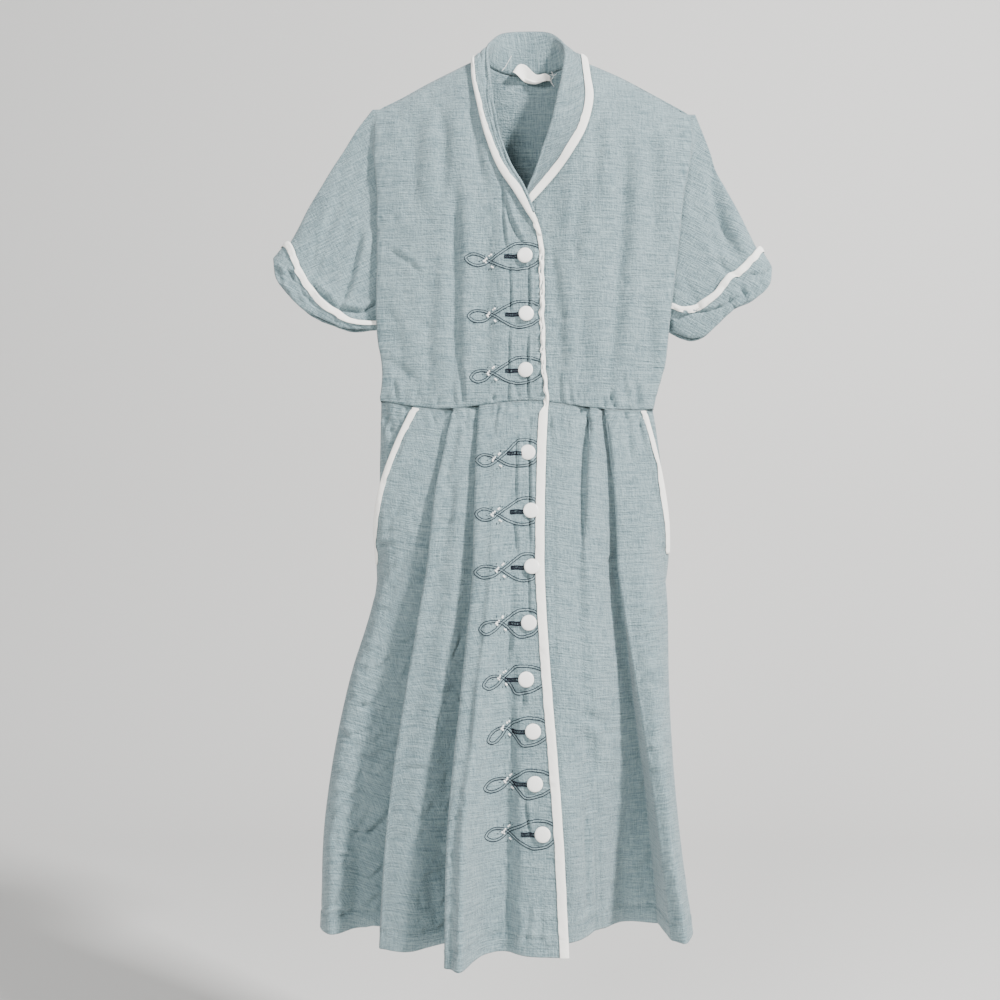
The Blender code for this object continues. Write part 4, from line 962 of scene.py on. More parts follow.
def twisted_height(run, share, seed):
    """Height from about -1 to 1 of a twisted strip, at distances along it and a share across."""
    heights = []
    for distance in run:
        sway = TWIST["swing"] * noise.noise(Vector((distance / TWIST["sway"], seed, 0)))
        fold = abs(math.sin(distance / TWIST["fold"] - share * TWIST["fold_lean"] + sway))
        place = (distance / TWIST["lump"] + share * TWIST["lump_lean"],
                 share * TWIST["lump_change"], seed * TWIST["seed_step"])
        heights.append(noise.noise(Vector(place)) + TWIST["fold_height"] * fold - TWIST["level"])
    return np.array(heights)


def binding(name, edge, inner, edge_normals, inner_normals, off, widths, lumps, seed):
    """Folded white strip round an edge: widths is what shows, lumps how far it is twisted."""
    into = unit(inner - edge)
    reach = np.linalg.norm(inner - edge, axis=1, keepdims=True)
    widths = np.minimum(np.asarray(widths, float).reshape(-1, 1), reach)
    back = np.minimum(BINDING_BACK, BACK_SHARE * reach)
    square = unit(edge_normals - into * np.sum(edge_normals * into, axis=1, keepdims=True))
    run = lengths(edge)
    lines = []
    for share, lift in BINDING_LINES:
        inward = share * widths / reach
        normals = unit(edge_normals * (1 - inward) + inner_normals * inward)
        puff = BINDING_PUFF * math.sin(math.pi * share) + BINDING_LIFT
        twist = lumps * twisted_height(run, share, seed)[:, None] * lift
        lines.append(edge + into * widths * share + normals * (off + puff + twist))
    for angle in np.radians(BINDING_TURN):
        lines.append(edge + off * (square * math.sin(angle) - into * math.cos(angle)))
    for distance in (BACK_START, back / 2, back):
        lines.append(edge + into * distance - square * off)
    cloth(name, [np.stack(lines, axis=1)], white, [("edge", 0)], BINDING_CLOTH)


THREAD_TAPER = 0.35           # share of a thread's thickness left at its ends
RAY_START = -400              # y well in front of the dress


class Stitches:
    """Many small tubes and knots, kept in one mesh."""

    def __init__(self, name, finish):
        self.name, self.finish = name, finish
        self.verts, self.faces, self.count = [], [], 0

    def tube(self, points, radius, sides=6):
        """A thread along points, tapered to closed ends."""
        points = np.asarray(points, float)
        run = unit(np.gradient(points, axis=0))
        square = unit(np.cross(run, np.array([0.03, -1.0, 0.07])))
        other = np.cross(run, square)
        thick = np.full(len(points), radius)
        thick[[0, -1]] = radius * THREAD_TAPER
        angles = 2 * np.pi * np.arange(sides) / sides
        spokes = (np.cos(angles)[None, :, None] * square[:, None]
                  + np.sin(angles)[None, :, None] * other[:, None])
        rings = points[:, None] + spokes * thick[:, None, None]
        start = self.count
        self.verts.append(rings.reshape(-1, 3))
        self.faces += ring_faces(len(points), sides, start)
        last = start + (len(points) - 1) * sides
        self.faces.append(tuple(range(start + sides - 1, start - 1, -1)))
        self.faces.append(tuple(range(last, last + sides)))
        self.count += len(points) * sides

    def knot(self, centre, radius):
        """A small ball of thread."""
        rings, sides = 3, 8
        tilts = math.pi * np.arange(1, rings + 1) / (rings + 1)
        turns = 2 * math.pi * np.arange(sides) / sides
        points = [(math.sin(tilt) * math.cos(a), math.cos(tilt), math.sin(tilt) * math.sin(a))
                  for tilt in tilts for a in turns]
        points += [(0, 1, 0), (0, -1, 0)]
        start = self.count
        self.verts.append(np.array(points) * radius + centre)
        self.faces += ring_faces(rings, sides, start)
        low, top = start + (rings - 1) * sides, start + rings * sides
        for s in range(sides):
            self.faces.append((start + (s + 1) % sides, start + s, top))
            self.faces.append((low + s, low + (s + 1) % sides, top + 1))
        self.count += len(points)

    def made(self):
        """The stitches as one object."""
        piece = add_mesh(self.name, np.vstack(self.verts), self.faces, self.finish)
        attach(piece, "root")
        return piece


class Surface:
    """Front of several grids, to lay small work on."""

    def __init__(self, *grids):
        verts, faces, start = [], [], 0
        for grid in grids:
            verts += grid.reshape(-1, 3).tolist()
            faces += grid_faces(*grid.shape[:2], start).tolist()
            start = len(verts)
        self.tree = BVHTree.FromPolygons(verts, faces)

    def at(self, x, z, off=0.0):
        """Point in front of the cloth at x, z, or None beside it."""
        start = Vector((x, RAY_START, z))
        place, normal, _, _ = self.tree.ray_cast(start, Vector(REAR))
        if place is None:
            return None
        normal = normal if normal[1] < 0 else -normal
        return np.array(place) + np.array(normal) * off

    def line(self, points, off):
        """The points x, z that have cloth behind them, laid on it."""
        laid = [self.at(x, z, off) for x, z in points]
        return np.array([p for p in laid if p is not None])


def shader_of(name, roughness, colour):
    """A new material and its shader."""
    made = bpy.data.materials.new(name)
    made.use_nodes = True
    tree = made.node_tree
    shader = tree.nodes["Principled BSDF"]
    shader.inputs["Base Color"].default_value = (*colour, 1)
    shader.inputs["Roughness"].default_value = roughness
    return made, tree, shader


NOISE_ROUGHNESS = 0.6
# Noise of the linen along its weft and its warp: patches to the metre each way, detail, weight
# in the colour and weight in the relief
LINEN_NOISE = [
    ("warp", 850, 60, 2, 1.35, 0.8),
    ("weft", 38, 800, 2, 1.6, 1.0),
    ("slubs", 18, 420, 2, 0.85, 1.2),
    ("cords", 420, 30, 2, 0.45, 0),
    ("broad", 16, 9, 2, 0.35, 0),
    # crinkle: the noise that raises the relief also darkens the colour in its hollows and lightens it
    # on its crests, which is painted shade and painted highlight; the rows above are the threads' own
    # tone
    ("crinkle", 300, 420, 3, 0.9, 2.2),
]
LINEN_SHEEN = 0.25
LINEN_RELIEF = 0.0011         # metres
WHITE_WEAVE = 700             # threads to the metre
WHITE_RELIEF = 0.0004         # metres


def stretched_noise(tree, source, scale_x, scale_y, detail):
    """Noise over cloth coordinates, with patches of 1/scale metres each way."""
    mapping = tree.nodes.new("ShaderNodeMapping")
    mapping.inputs["Scale"].default_value = (scale_x, scale_y, 1)
    tree.links.new(source, mapping.inputs["Vector"])
    made = tree.nodes.new("ShaderNodeTexNoise")
    made.inputs["Scale"].default_value = 1.0
    made.inputs["Detail"].default_value = detail
    made.inputs["Roughness"].default_value = NOISE_ROUGHNESS
    tree.links.new(mapping.outputs["Vector"], made.inputs["Vector"])
    return made.outputs[0]


def weighed(tree, parts):
    """Sum of (value - 0.5) times a weight."""
    total = None
    for value, weight in parts:
        step = tree.nodes.new("ShaderNodeMath")
        step.operation = "MULTIPLY_ADD"
        step.inputs[1].default_value = weight
        step.inputs[2].default_value = -0.5 * weight
        tree.links.new(value, step.inputs[0])
        if total is None:
            total = step.outputs[0]
            continue
        both = tree.nodes.new("ShaderNodeMath")
        both.operation = "ADD"
        tree.links.new(total, both.inputs[0])
        tree.links.new(step.outputs[0], both.inputs[1])
        total = both.outputs[0]
    return total


def bumped(tree, shader, height, strength, distance):
    """Relief of a surface: how strongly it shows, and how deep it is in metres."""
    bump = tree.nodes.new("ShaderNodeBump")
    bump.inputs["Strength"].default_value = strength
    bump.inputs["Distance"].default_value = distance
    tree.links.new(height, bump.inputs["Height"])
    tree.links.new(bump.outputs["Normal"], shader.inputs["Normal"])


def linen_material():
    """Slubbed grey-teal cloth: uneven warp and weft, light cross threads, and crinkle that paints
    shade into its own hollows and a painted highlight onto its crests.
    """
    made, tree, shader = shader_of("linen", 0.92, LINEN)
    place = tree.nodes.new("ShaderNodeUVMap")
    place.uv_map = "cloth"
    colour_parts, relief_parts = [], []
    for _, weft_scale, warp_scale, detail, colour_weight, relief_weight in LINEN_NOISE:
        value = stretched_noise(tree, place.outputs["UV"], weft_scale, warp_scale, detail)
        colour_parts.append((value, colour_weight))
        if relief_weight:
            relief_parts.append((value, relief_weight))
    # Colour from LINEN_DARK to LINEN_LIGHT: the threads' own uneven tone, plus painted shade and
    # painted highlight that follow the crinkle
    ramp = tree.nodes.new("ShaderNodeMix")
    ramp.data_type = "RGBA"
    ramp.inputs[6].default_value = (*LINEN_DARK, 1)
    ramp.inputs[7].default_value = (*LINEN_LIGHT, 1)
    shift = tree.nodes.new("ShaderNodeMath")
    shift.operation = "ADD"
    shift.use_clamp = True
    shift.inputs[1].default_value = 0.5
    tree.links.new(weighed(tree, colour_parts), shift.inputs[0])
    tree.links.new(shift.outputs[0], ramp.inputs[0])
    tree.links.new(ramp.outputs[2], shader.inputs["Base Color"])
    shader.inputs["Sheen Weight"].default_value = LINEN_SHEEN
    shader.inputs["Sheen Roughness"].default_value = 0.5
    bumped(tree, shader, weighed(tree, relief_parts), 1.0, LINEN_RELIEF)
    return made


def white_material():
    """Off-white plain cotton with a fine weave."""
    made, tree, shader = shader_of("white_binding", 0.8, WHITE)
    place = tree.nodes.new("ShaderNodeTexCoord")
    weave = stretched_noise(tree, place.outputs["Object"], WHITE_WEAVE, WHITE_WEAVE, 3)
    bumped(tree, shader, weave, 0.4, WHITE_RELIEF)
    return made


# Hem: height of the doubled cloth and how it comes in, the groove at its stitches, and the
# puckers round them
HEM_FORM = {"step": 0.45, "step_start": 1.5, "step_run": 2.5, "groove": 0.6, "groove_at": 1,
            "groove_width": 1.6, "pucker": 1.5, "pucker_reach": 11, "margin": 12}
HEM_GRAIN = (5, 12, 16)


def hemmed(grid, facing):
    """A skirt with its doubled hem: a slight step at the stitches and small puckers there."""
    normals = outward_normals(grid, facing)
    down, across = lengths(grid, 0), lengths(grid, 1)
    up = down[-1:] - down - HEM_DEPTH
    doubled = smooth((HEM_FORM["step_start"] - up) / HEM_FORM["step_run"])
    groove = np.exp(-((up - HEM_FORM["groove_at"]) / HEM_FORM["groove_width"]) ** 2)
    pucker = grain(grid, HEM_GRAIN, 41) * np.exp(-(up / HEM_FORM["pucker_reach"]) ** 2)
    height = (HEM_FORM["step"] * doubled - HEM_FORM["groove"] * groove
              + HEM_FORM["pucker"] * pucker)
    margin = HEM_FORM["margin"]
    calm = smooth(across / margin) * smooth((across[:, -1:] - across) / margin)
    return grid + normals * (height * calm)[..., None]


# Columns of the collar: up the stand, over the roll in two steps, down the fall, under its binding
COLLAR_COLUMNS = [8, 5, 6, 14, 6]
# Lengthwise puckers of the fall: place and width as shares of its breadth, height, pace of
# their sway
PUCKERS = [(0.42, 0.09, -4.0, 23), (0.26, 0.06, 1.6, 31), (0.62, 0.05, -2.4, 17),
           (0.74, 0.05, 1.6, 26)]
# Their strength along the collar from its right end
PUCKER_STRENGTH = [(0, 0.2), (0.04, 0.9), (0.1, 1), (0.32, 1), (0.42, 0.35), (0.6, 0.3),
                   (1, 0.25)]
# Each pucker sways over its pace, trembles over a shorter one, and fades in and out. Between
# them lies a fine crinkle. Margins are shares of the fall at the roll and at its edge, and a
# length at the collar's ends.
PUCKER_FORM = {"sway": 0.07, "tremble": 0.03, "tremble_pace": 7.3, "least": 0.6, "more": 0.4,
               "fade_pace": 0.8, "fade_start": 2, "crinkle": 0.75, "crinkle_least": 0.4,
               "roll_margin": 0.15, "edge_margin": 0.12, "end_margin": 12.0}
COLLAR_GRAIN = (6, 9, 8)


def puckered(grid):
    """The collar with lengthwise puckers on its fall, deep on the right and slight on the left."""
    start = sum(COLLAR_COLUMNS[:2])
    fall = grid[:, start:]
    normals = outward_normals(fall, FRONT)
    outward = np.sum(normals[:, -1] * (grid[:, -1] - grid[:, COLLAR_COLUMNS[0]]), axis=1)
    normals *= np.sign(outward)[:, None, None]
    run = lengths(grid, 0)[:, start + 8]
    across = np.linspace(0, 1, fall.shape[1])
    strength = np.interp(run / run[-1], *zip(*PUCKER_STRENGTH))
    form = PUCKER_FORM
    crinkle = form["crinkle"] * (form["crinkle_least"] + strength)
    height = crinkle[:, None] * grain(fall, COLLAR_GRAIN, 21)
    for middle, wide, depth, pace in PUCKERS:
        sway = (middle + form["sway"] * np.sin(run / pace)
                + form["tremble"] * np.sin(run / form["tremble_pace"] + pace))
        beat = np.sin(run / (pace * form["fade_pace"]) + form["fade_start"])
        trough = np.exp(-((across - sway[:, None]) / wide) ** 2)
        height += depth * (strength * (form["least"] + form["more"] * beat))[:, None] * trough
    height *= smooth(across / form["roll_margin"]) * smooth((1 - across) / form["edge_margin"])
    ends = smooth(run / form["end_margin"]) * smooth((run[-1] - run) / form["end_margin"])
    return np.hstack([grid[:, :start], fall + normals * (height * ends[:, None])[..., None]])


BUTTON_SIDES = 48
BUTTON_TILT = (0.1, 0.07)     # how far it may lean sideways and up
BUTTON_REACH = 6.0            # round its centre, where the lie of the cloth is taken


def button_profile():
    """Radius and height of a button's rings from the crown, over the rim, to the shank's foot."""
    rim = SHANK_HEIGHT + BUTTON_EDGE
    crown = [(BUTTON_RADIUS * 0.97 * math.cos(a), rim + BUTTON_DOME * math.sin(a) ** 0.9)
             for a in np.linspace(1.5, 0.06, 12)]
    return [(0.01, rim + BUTTON_DOME), *crown, (BUTTON_RADIUS, rim - 0.25),
            (BUTTON_RADIUS, rim - 0.7), (BUTTON_RADIUS - 0.3, SHANK_HEIGHT + 0.3),
            (BUTTON_RADIUS - 1, SHANK_HEIGHT), (SHANK_RADIUS, SHANK_HEIGHT), (SHANK_RADIUS, 0.1),
            (0.01, 0.1)]


def button(front, number, x, z):
    """A turned button on its shank, tilted a little."""
    luck = random.Random(number)
    seat = front.at(x, z)
    near, far = front.at(x + BUTTON_REACH, z), front.at(x - BUTTON_REACH, z)
    above, below = front.at(x, z + BUTTON_REACH), front.at(x, z - BUTTON_REACH)
    normal = unit(np.cross(near - far, above - below))
    normal = normal if normal[1] < 0 else -normal
    profile = button_profile()
    angles = 2 * np.pi * np.arange(BUTTON_SIDES) / BUTTON_SIDES
    verts = np.array([(r * math.cos(a), r * math.sin(a), h) for r, h in profile for a in angles])
    sideways, upwards = BUTTON_TILT
    tilt = Vector((luck.uniform(-sideways, sideways), 0, luck.uniform(-upwards, upwards)))
    spin = Vector((0, 0, 1)).rotation_difference(Vector(normal) + tilt).to_matrix()
    places = verts @ np.array(spin).T + seat + normal * (WALL / 2 + SEAM_GAP)
    faces = ring_faces(len(profile), BUTTON_SIDES)
    piece = add_mesh(f"fine_button_{number:02d}", places, faces, pearl)
    settle(piece, f"button_{number:02d}")


# Points of a loop from the button. The head's are x, z and how much of the way to the edge and
# to the crossing is added; the tail's are a share of the way from the crossing to the tail's
# end, and a height over it.
LOOP_TOP = [(0, 11, 1, 0), (0, 15, 0.35, 0), (-12, 15, 0, 0), (0, 9, 0, 0.64)]
LOOP_TAIL = [(0, 0), (0.35, -6.5), (0.75, -7), (1, 0), (0.75, 6), (0.35, 5), (0, 0)]
LOOP_BOTTOM = [(0, -10, 0, 0.64), (-12, -17, 0, 0), (0, -14, 0.35, 0), (0, -7, 1, 0)]
LOOP_STEPS = 9


def loop_path(edge_x, motif):
    """Centre line of one loop, from the button: from the edge over it, round the tail and back."""
    side, cross, end = np.array([edge_x, 0]), np.array(motif[:2]), np.array(motif[2:])
    top, bottom = ([np.array([x, z]) + side * to_edge + cross * to_cross
                    for x, z, to_edge, to_cross in line] for line in (LOOP_TOP, LOOP_BOTTOM))
    tail = [cross + (end - cross) * share + (0, off) for share, off in LOOP_TAIL]
    return through(top + tail + bottom, LOOP_STEPS)


def lamp(name, place, target, size, watts):
    """A soft area light turned to a point."""
    light = bpy.data.lights.new(name, "AREA")
    light.size = size
    light.energy = watts
    made = bpy.data.objects.new(name, light)
    made.location = place
    made.rotation_euler = (Vector(target) - Vector(place)).to_track_quat("-Z", "Y").to_euler()
    bpy.context.scene.collection.objects.link(made)


# Materials
linen = linen_material()
white = white_material()
pearl, _, _ = shader_of("button_white", 0.3, PEARL)
navy, _, navy_shader = shader_of("navy_thread", 0.8, NAVY)
navy_shader.inputs["Specular IOR Level"].default_value = 0.12
knot_white, _, _ = shader_of("white_thread", 0.8, KNOT_WHITE)
linen_thread, _, _ = shader_of("linen_thread", 0.7, LINEN_THREAD)

# Creases as they show: x, z of both ends, bend, width, depth
BODICE_RIGHT_CREASES = [
    (-102, -110, -101, -452, -3, 8, 6.8), (-124, -40, -122, -190, 4, 9, 4.5),
    (-150, -50, -158, -210, -4, 11, 3.6), (-204, -234, -144, -277, 5, 3.6, 2.4),
    (-42, -144, -35, -250, -3, 2, 4.2), (-40, -156, -8, -240, -9, 2.8, 4.4),
    (-33, -250, -32, -332, 1, 1.7, 3.8), (-32, -334, -33, -408, -1, 1.7, 3.4),
    (-33, -406, -36, -452, 0, 1.9, 3.2), (-8.5, -252, -8, -342, 1, 1.7, 4.6),
    (-8.5, -340, -8, -448, -1, 1.7, 4.4), (-20, -226, -24, -262, 2, 3, 1.8),
    (-84, -30, -62, -170, -5, 7, 3.4), (-62, -170, -66, -445, 2, 9, 3),
    (-200, -300, -170, -430, 8, 9, 2.2), (-206, -380, -150, -420, 6, 6, 2),
    (-98, -380, -92, -450, 0, 3.2, 3), (-132, -230, -136, -440, -4, 10, 2.8),
    (-108, -405, -103, -450, 0, 2.4, 2.2), (-186, -402, -176, -446, 0, 3, 2.6),
    (-194, -395, -192, -440, 0, 3, 2.4), (-62, -415, -58, -448, 0, 2.4, 1.6),
    (-22, -420, -20, -448, 0, 2.4, 1.5), (-170, -330, -120, -352, 5, 4, 1.3),
]
BODICE_LEFT_CREASES = [
    (118, -60, 90, -452, 8, 9, 7), (112, -292, 128, -270, 0, 2.6, 2.4),
    (146, -60, 152, -250, 5, 10, 3.6), (64, -120, 40, -280, 4, 9, 3.6),
    (86, -40, 80, -220, -4, 8, 3.2), (18, -220, 34, -430, 5, 8, 2.6),
    (60, -240, 58, -440, 2, 11, 3.2), (142, -280, 154, -440, 3, 9, 3.2),
    (14, -404, 10, -450, 0, 2.6, 2.4), (30, -396, 36, -450, 0, 3.2, 2.6),
    (44, -410, 50, -450, 0, 2.6, 1.8), (112, -392, 122, -446, 0, 3.4, 2.4),
    (130, -404, 136, -446, 0, 3, 2.2), (138, -250, 118, -304, 2, 4, 1.8),
    (98, -412, 102, -448, 0, 2.6, 1.6), (150, -410, 156, -446, 0, 3, 2),
]
SKIRT_RIGHT_CREASES = [
    (-100, -456, -124, -560, 4, 4.5, 3.4), (-108, -520, -122, -640, 4, 6, 2.4),
    (-168, -470, -186, -520, 2, 3, 1.8), (-118, -450, -122, -500, 0, 3, 2),
    (-30, -640, -40, -780, 4, 4, 2.2), (-38, -780, -20, -900, -5, 5, 2.6),
    (-34, -700, -30, -1000, 4, 6, 3), (-45, -812, -32, -1140, 3, 8, 3.6),
    (-36, -1060, -30, -1156, 0, 5, 3), (-12, -950, -4, -1004, -2, 2, 4.5),
    (-182, -916, -112, -918, 2, 3, 3), (-262, -800, -232, -760, 3, 4, 5),
    (-270, -860, -236, -880, 3, 4, 4.2), (-24, -470, -26, -560, 1, 2, 3.6),
    (-8, -462, -7, -640, 1, 1.7, 4), (-24, -530, -25, -575, 0, 2, 3.2),
    (-28, -590, -24, -640, 1, 2.4, 3.6), (-10, -640, -8, -720, 1, 2, 2.6),
    (-30, -735, -40, -790, 2, 2.4, 4.2), (-12, -800, -22, -850, 2, 3, 3.2),
    (-24, -800, -8, -850, 2, 3, 1.5), (-30, -870, -28, -906, 0, 2.4, 3.4),
    (-52, -450, -54, -484, 0, 3, 1.6), (-20, -1100, -32, -1156, 1, 4, 2.4),
    (-6, -1080, -14, -1150, 1, 4, 2.4), (8, -1090, 4, -1150, 1, 3.5, 2),
    (-140, -1040, -130, -1130, 3, 7, 2), (-228, -1000, -236, -1120, 3, 8, 2.2),
    (-160, -600, -196, -700, 6, 8, 2.2), (-90, -760, -84, -1000, 3, 7, 1.6),
]
SKIRT_LEFT_CREASES = [
    (91, -455, 101, -540, 1, 2.6, 2.4),
    (70, -450, 64, -640, -4, 5, 4.4), (98, -872, 58, -842, -5, 7, 5),
    (62, -850, 96, -930, -8, 10, 3.6), (32, -470, 44, -1000, 8, 16, 2.2),
    (172, -980, 196, -1080, 4, 5, 4.4), (186, -1020, 200, -1100, 3, 4, 4),
    (130, -620, 158, -900, -8, 12, 2.2), (148, -560, 166, -760, 4, 8, 2),
    (66, -950, 70, -1130, 0, 2.6, 4.5), (20, -450, 22, -500, 0, 2.6, 2.2),
    (42, -450, 44, -490, 0, 2.6, 1.8), (118, -452, 126, -520, 0, 3.4, 2.6),
    (134, -452, 142, -500, 0, 3, 2), (20, -500, 26, -900, 2, 4, 1.2),
    (110, -1000, 116, -1110, 2, 8, 1.6),
]
WRINKLES_RIGHT = (scattered(5, 120, (-275, -1120, -190, -600), 38, 22, 32, 3, 2.8)
                  + scattered(6, 110, (-190, -1120, -100, -540), 42, 30, 28, 2.8, 2)
                  + scattered(7, 90, (-100, -1120, 40, -480), 50, 50, 22, 2.6, 1.1)
                  + scattered(8, 40, (-240, -1000, -190, -480), 20, 30, 24, 2.8, 1.4))
WRINKLES_LEFT = (scattered(9, 130, (30, -1120, 200, -480), 30, 45, 24, 2.8, 1.2)
                 + scattered(10, 60, (140, -1130, 210, -680), 50, 25, 30, 3, 1.7))
WRINKLES_BODICE = scattered(11, 170, (-215, -440, 205, -60), 84, 32, 26, 3, 1)
WRINKLES_BACK = scattered(12, 260, (-275, -1110, 200, -60), 70, 38, 30, 3.2, 1.3)
GATHERS = scattered(13, 80, (-205, -474, 165, -430), 90, 12, 24, 2.4, 3)
BACK_CREASES = [
    (-100, -110, -96, -430, 4, 13, 2.6), (92, -100, 98, -430, -5, 13, 2.6),
    (-10, -60, -14, -300, 3, 16, 1.6), (-180, -230, -120, -280, 5, 5, 1.6),
    (168, -230, 110, -270, -5, 5, 1.5), (-150, -700, -120, -900, 6, 10, 1.8),
    (110, -720, 70, -930, -6, 10, 1.8), (-60, -620, -40, -1000, 6, 12, 1.6),
]

# Calm margins of each kind of piece: top, bottom, first and last column
STILL = {
    "front": (14, 5, 12, 18), "back": (14, 5, 18, 18), "sleeve": (8, 8, 26, 10),
    "skirt_right": (6, 0, 10, 12), "skirt_left": (6, 0, 12, 10), "skirt_back": (6, 0, 10, 10),
    "hip": (6, 8, 6, 8), "cuff": (3, 3, 2, 2),
}
SLEEVE_RIGHT_CREASES = scattered(14, 26, (-330, -330, -210, -120), 50, 14, 60, 5, 1.6) + [
    (-224, -205, -254, -318, 3, 5, 7.0), (-284, -214, -292, -262, 2, 2.8, 2.6),
    (-276, -240, -286, -272, 2, 2.6, 2.2), (-294, -282, -254, -320, 1, 2.6, 6.5),
    (-262, -316, -220, -323, 1, 2.6, 7.0), (-226, -324, -203, -310, 2, 2.6, 6.5),
    (-258, -300, -250, -318, 0, 2.4, 3.0), (-246, -290, -252, -319, 0, 3.0, 3.0),
]
SLEEVE_LEFT_CREASES = scattered(15, 22, (205, -340, 300, -120), 130, 14, 60, 5, 1.5) + [
    (228, -117, 264, -268, -6, 8, 6.5), (214, -250, 286, -300, 6, 6, 1.8),
]

# Bodice
front_right, sleeve_right = front_patches("right")
front_left, sleeve_left = front_patches("left")
back, sleeve_right_back, sleeve_left_back = back_patches()
front_right = crumpled(front_right, FRONT, BODICE_RIGHT_CREASES + WRINKLES_BODICE + GATHERS,
                       STILL["front"], 1)
front_left = crumpled(front_left, FRONT, BODICE_LEFT_CREASES + WRINKLES_BODICE + GATHERS,
                      STILL["front"], 2)
back = crumpled(back, REAR, BACK_CREASES + WRINKLES_BACK + GATHERS, STILL["back"], 3)
sleeve_right, sleeve_left, sleeve_right_back, sleeve_left_back = [
    crumpled(grid, facing, table, STILL["sleeve"], seed) for grid, facing, table, seed in (
        (sleeve_right, FRONT, SLEEVE_RIGHT_CREASES, 4), (sleeve_left, FRONT, SLEEVE_LEFT_CREASES, 5),
        (sleeve_right_back, REAR, SLEEVE_RIGHT_CREASES, 6),
        (sleeve_left_back, REAR, SLEEVE_LEFT_CREASES, 7))]
BIAS = 28                     # degrees by which the weave turns on a sleeve
cloth("bodice_front_right", [front_right, sleeve_right], linen,
      [("upright", BODY_COLUMNS // 2), ("turned", -BIAS)])
cloth("bodice_front_left", [front_left, sleeve_left], linen,
      [("upright", BODY_COLUMNS // 2), ("turned", BIAS)])
cloth("bodice_back", [back, sleeve_right_back, sleeve_left_back], linen,
      [("upright", back.shape[1] // 2), ("turned", -BIAS), ("turned", BIAS)])

# Skirt
drops = skirt_drops(HEM)
skirts = []
for grid, facing, table, still, seed in (
        (skirt_patch(SKIRT_RIGHT, drops, ("first", "last")), FRONT,
         SKIRT_RIGHT_CREASES + WRINKLES_RIGHT, "skirt_right", 8),
        (skirt_patch(SKIRT_LEFT, drops, ("last",)), FRONT,
         SKIRT_LEFT_CREASES + WRINKLES_LEFT, "skirt_left", 9),
        (skirt_patch(SKIRT_BACK, drops), REAR, BACK_CREASES + WRINKLES_BACK, "skirt_back", 10)):
    grid = crumpled(softened(grid), facing, table + GATHERS, STILL[still], seed)
    skirts.append(hemmed(grid, facing))
skirt_right, skirt_left, skirt_back = skirts
cloth("skirt_front_right", [skirt_right], linen, [("edge", -1)])
cloth("skirt_front_left", [skirt_left], linen, [("edge", 0)])
cloth("skirt_back", [skirt_back], linen, [("edge", skirt_back.shape[1] // 2)])
hip_drops = skirt_drops(HIP_END)
HIP_CREASES = (scattered(18, 30, (-205, -640, -160, -455), 8, 20, 22, 2.2, 2.8)
               + scattered(19, 20, (120, -640, 170, -455), 172, 16, 22, 2.4, 2.0))
HIP_CRUMPLE = 0.8
for side, table, seed in (("right", HIP_RIGHT, 11), ("left", HIP_LEFT, 12)):
    hip = crumpled(skirt_patch(table, hip_drops), FRONT, GATHERS + HIP_CREASES, STILL["hip"], seed,
                   HIP_CRUMPLE)
    cloth("hip_piece_" + side, [hip], linen, [("edge", 0)])

# Collar
neck = {"right": front_right[:, 0], "left": front_left[:, 0]}
collar = puckered(refined(collar_patch(neck), COLLAR_COLUMNS))
cloth("collar", [collar], linen, [("edge", 0)])

# Its binding: what shows of it and how far it is twisted, along the collar from its right end
COLLAR_WIDTHS = [(0, 9), (0.07, 8.4), (0.14, 6.2), (0.22, 3.8), (0.3, 2.9), (0.36, 2.8), (0.44, 4),
                 (0.5, 5.5), (0.6, 6), (0.64, 6.6), (0.7, 8.6), (0.85, 9), (1, 8.6)]
COLLAR_TWIST = [(0, 0.3), (0.08, 0.5), (0.16, 1.3), (0.4, 1.2), (0.5, 0.5), (1, 0.4)]
bound = -1 - COLLAR_COLUMNS[-1]
collar_edge, collar_inner = collar[:, -1], collar[:, bound]
collar_normals = outward_normals(collar[:, bound:], FRONT)[:, -1]
outward = np.sum(collar_normals * (collar_inner - collar[:, COLLAR_COLUMNS[0]]), axis=1)
collar_normals *= np.sign(outward)[:, None]
shares = np.linspace(0, 1, len(collar))
collar_widths = np.interp(shares, *zip(*COLLAR_WIDTHS)) + wavering(lengths(collar_edge), 8, 31)
collar_twist = np.interp(shares, *zip(*COLLAR_TWIST))
# Its lower end runs on down the front edge, over that edge's own binding, to a point
TAIL = 28.0                   # length of that end
TAIL_LIFT = 1.3               # how far its tip stands over the other binding
TAIL_WIDTHS = (1.4, 8.8)      # at its tip and where it meets the rest
share = np.linspace(0, 0.93, 12)[:, None]
tail_z = collar_edge[0, 2] - TAIL * (1 - share[:, 0])
tail_edge = at_height(front_right[:, 0], tail_z)
tail_edge += (collar_edge[0] - at_height(front_right[:, 0], collar_edge[0, 2])) * share ** 1.5
tail_edge[:, 1] -= TAIL_LIFT * (1 - share[:, 0])
tip, tip_inner = (at_height(front_right[:, column], tail_z[0]) for column in (0, 1))
end_into = collar_inner[0] - collar_edge[0]
tail_into = unit(unit(tip_inner - tip) * (1 - share) + unit(end_into) * share)
tail_inner = tail_edge + tail_into * np.linalg.norm(end_into)
tail_normals = unit(np.array(FRONT, float) * (1 - share) + collar_normals[0] * share)
tail_widths = TAIL_WIDTHS[0] + (TAIL_WIDTHS[1] - TAIL_WIDTHS[0]) * share[:, 0] ** 0.7
normals = np.vstack([tail_normals, collar_normals])
binding("binding_collar", np.vstack([tail_edge, collar_edge]), np.vstack([tail_inner, collar_inner]),
        normals, normals, BINDING_OFF, np.concatenate([tail_widths, collar_widths]),
        np.concatenate([share[:, 0] * COLLAR_TWIST[0][1], collar_twist])[:, None], 1)

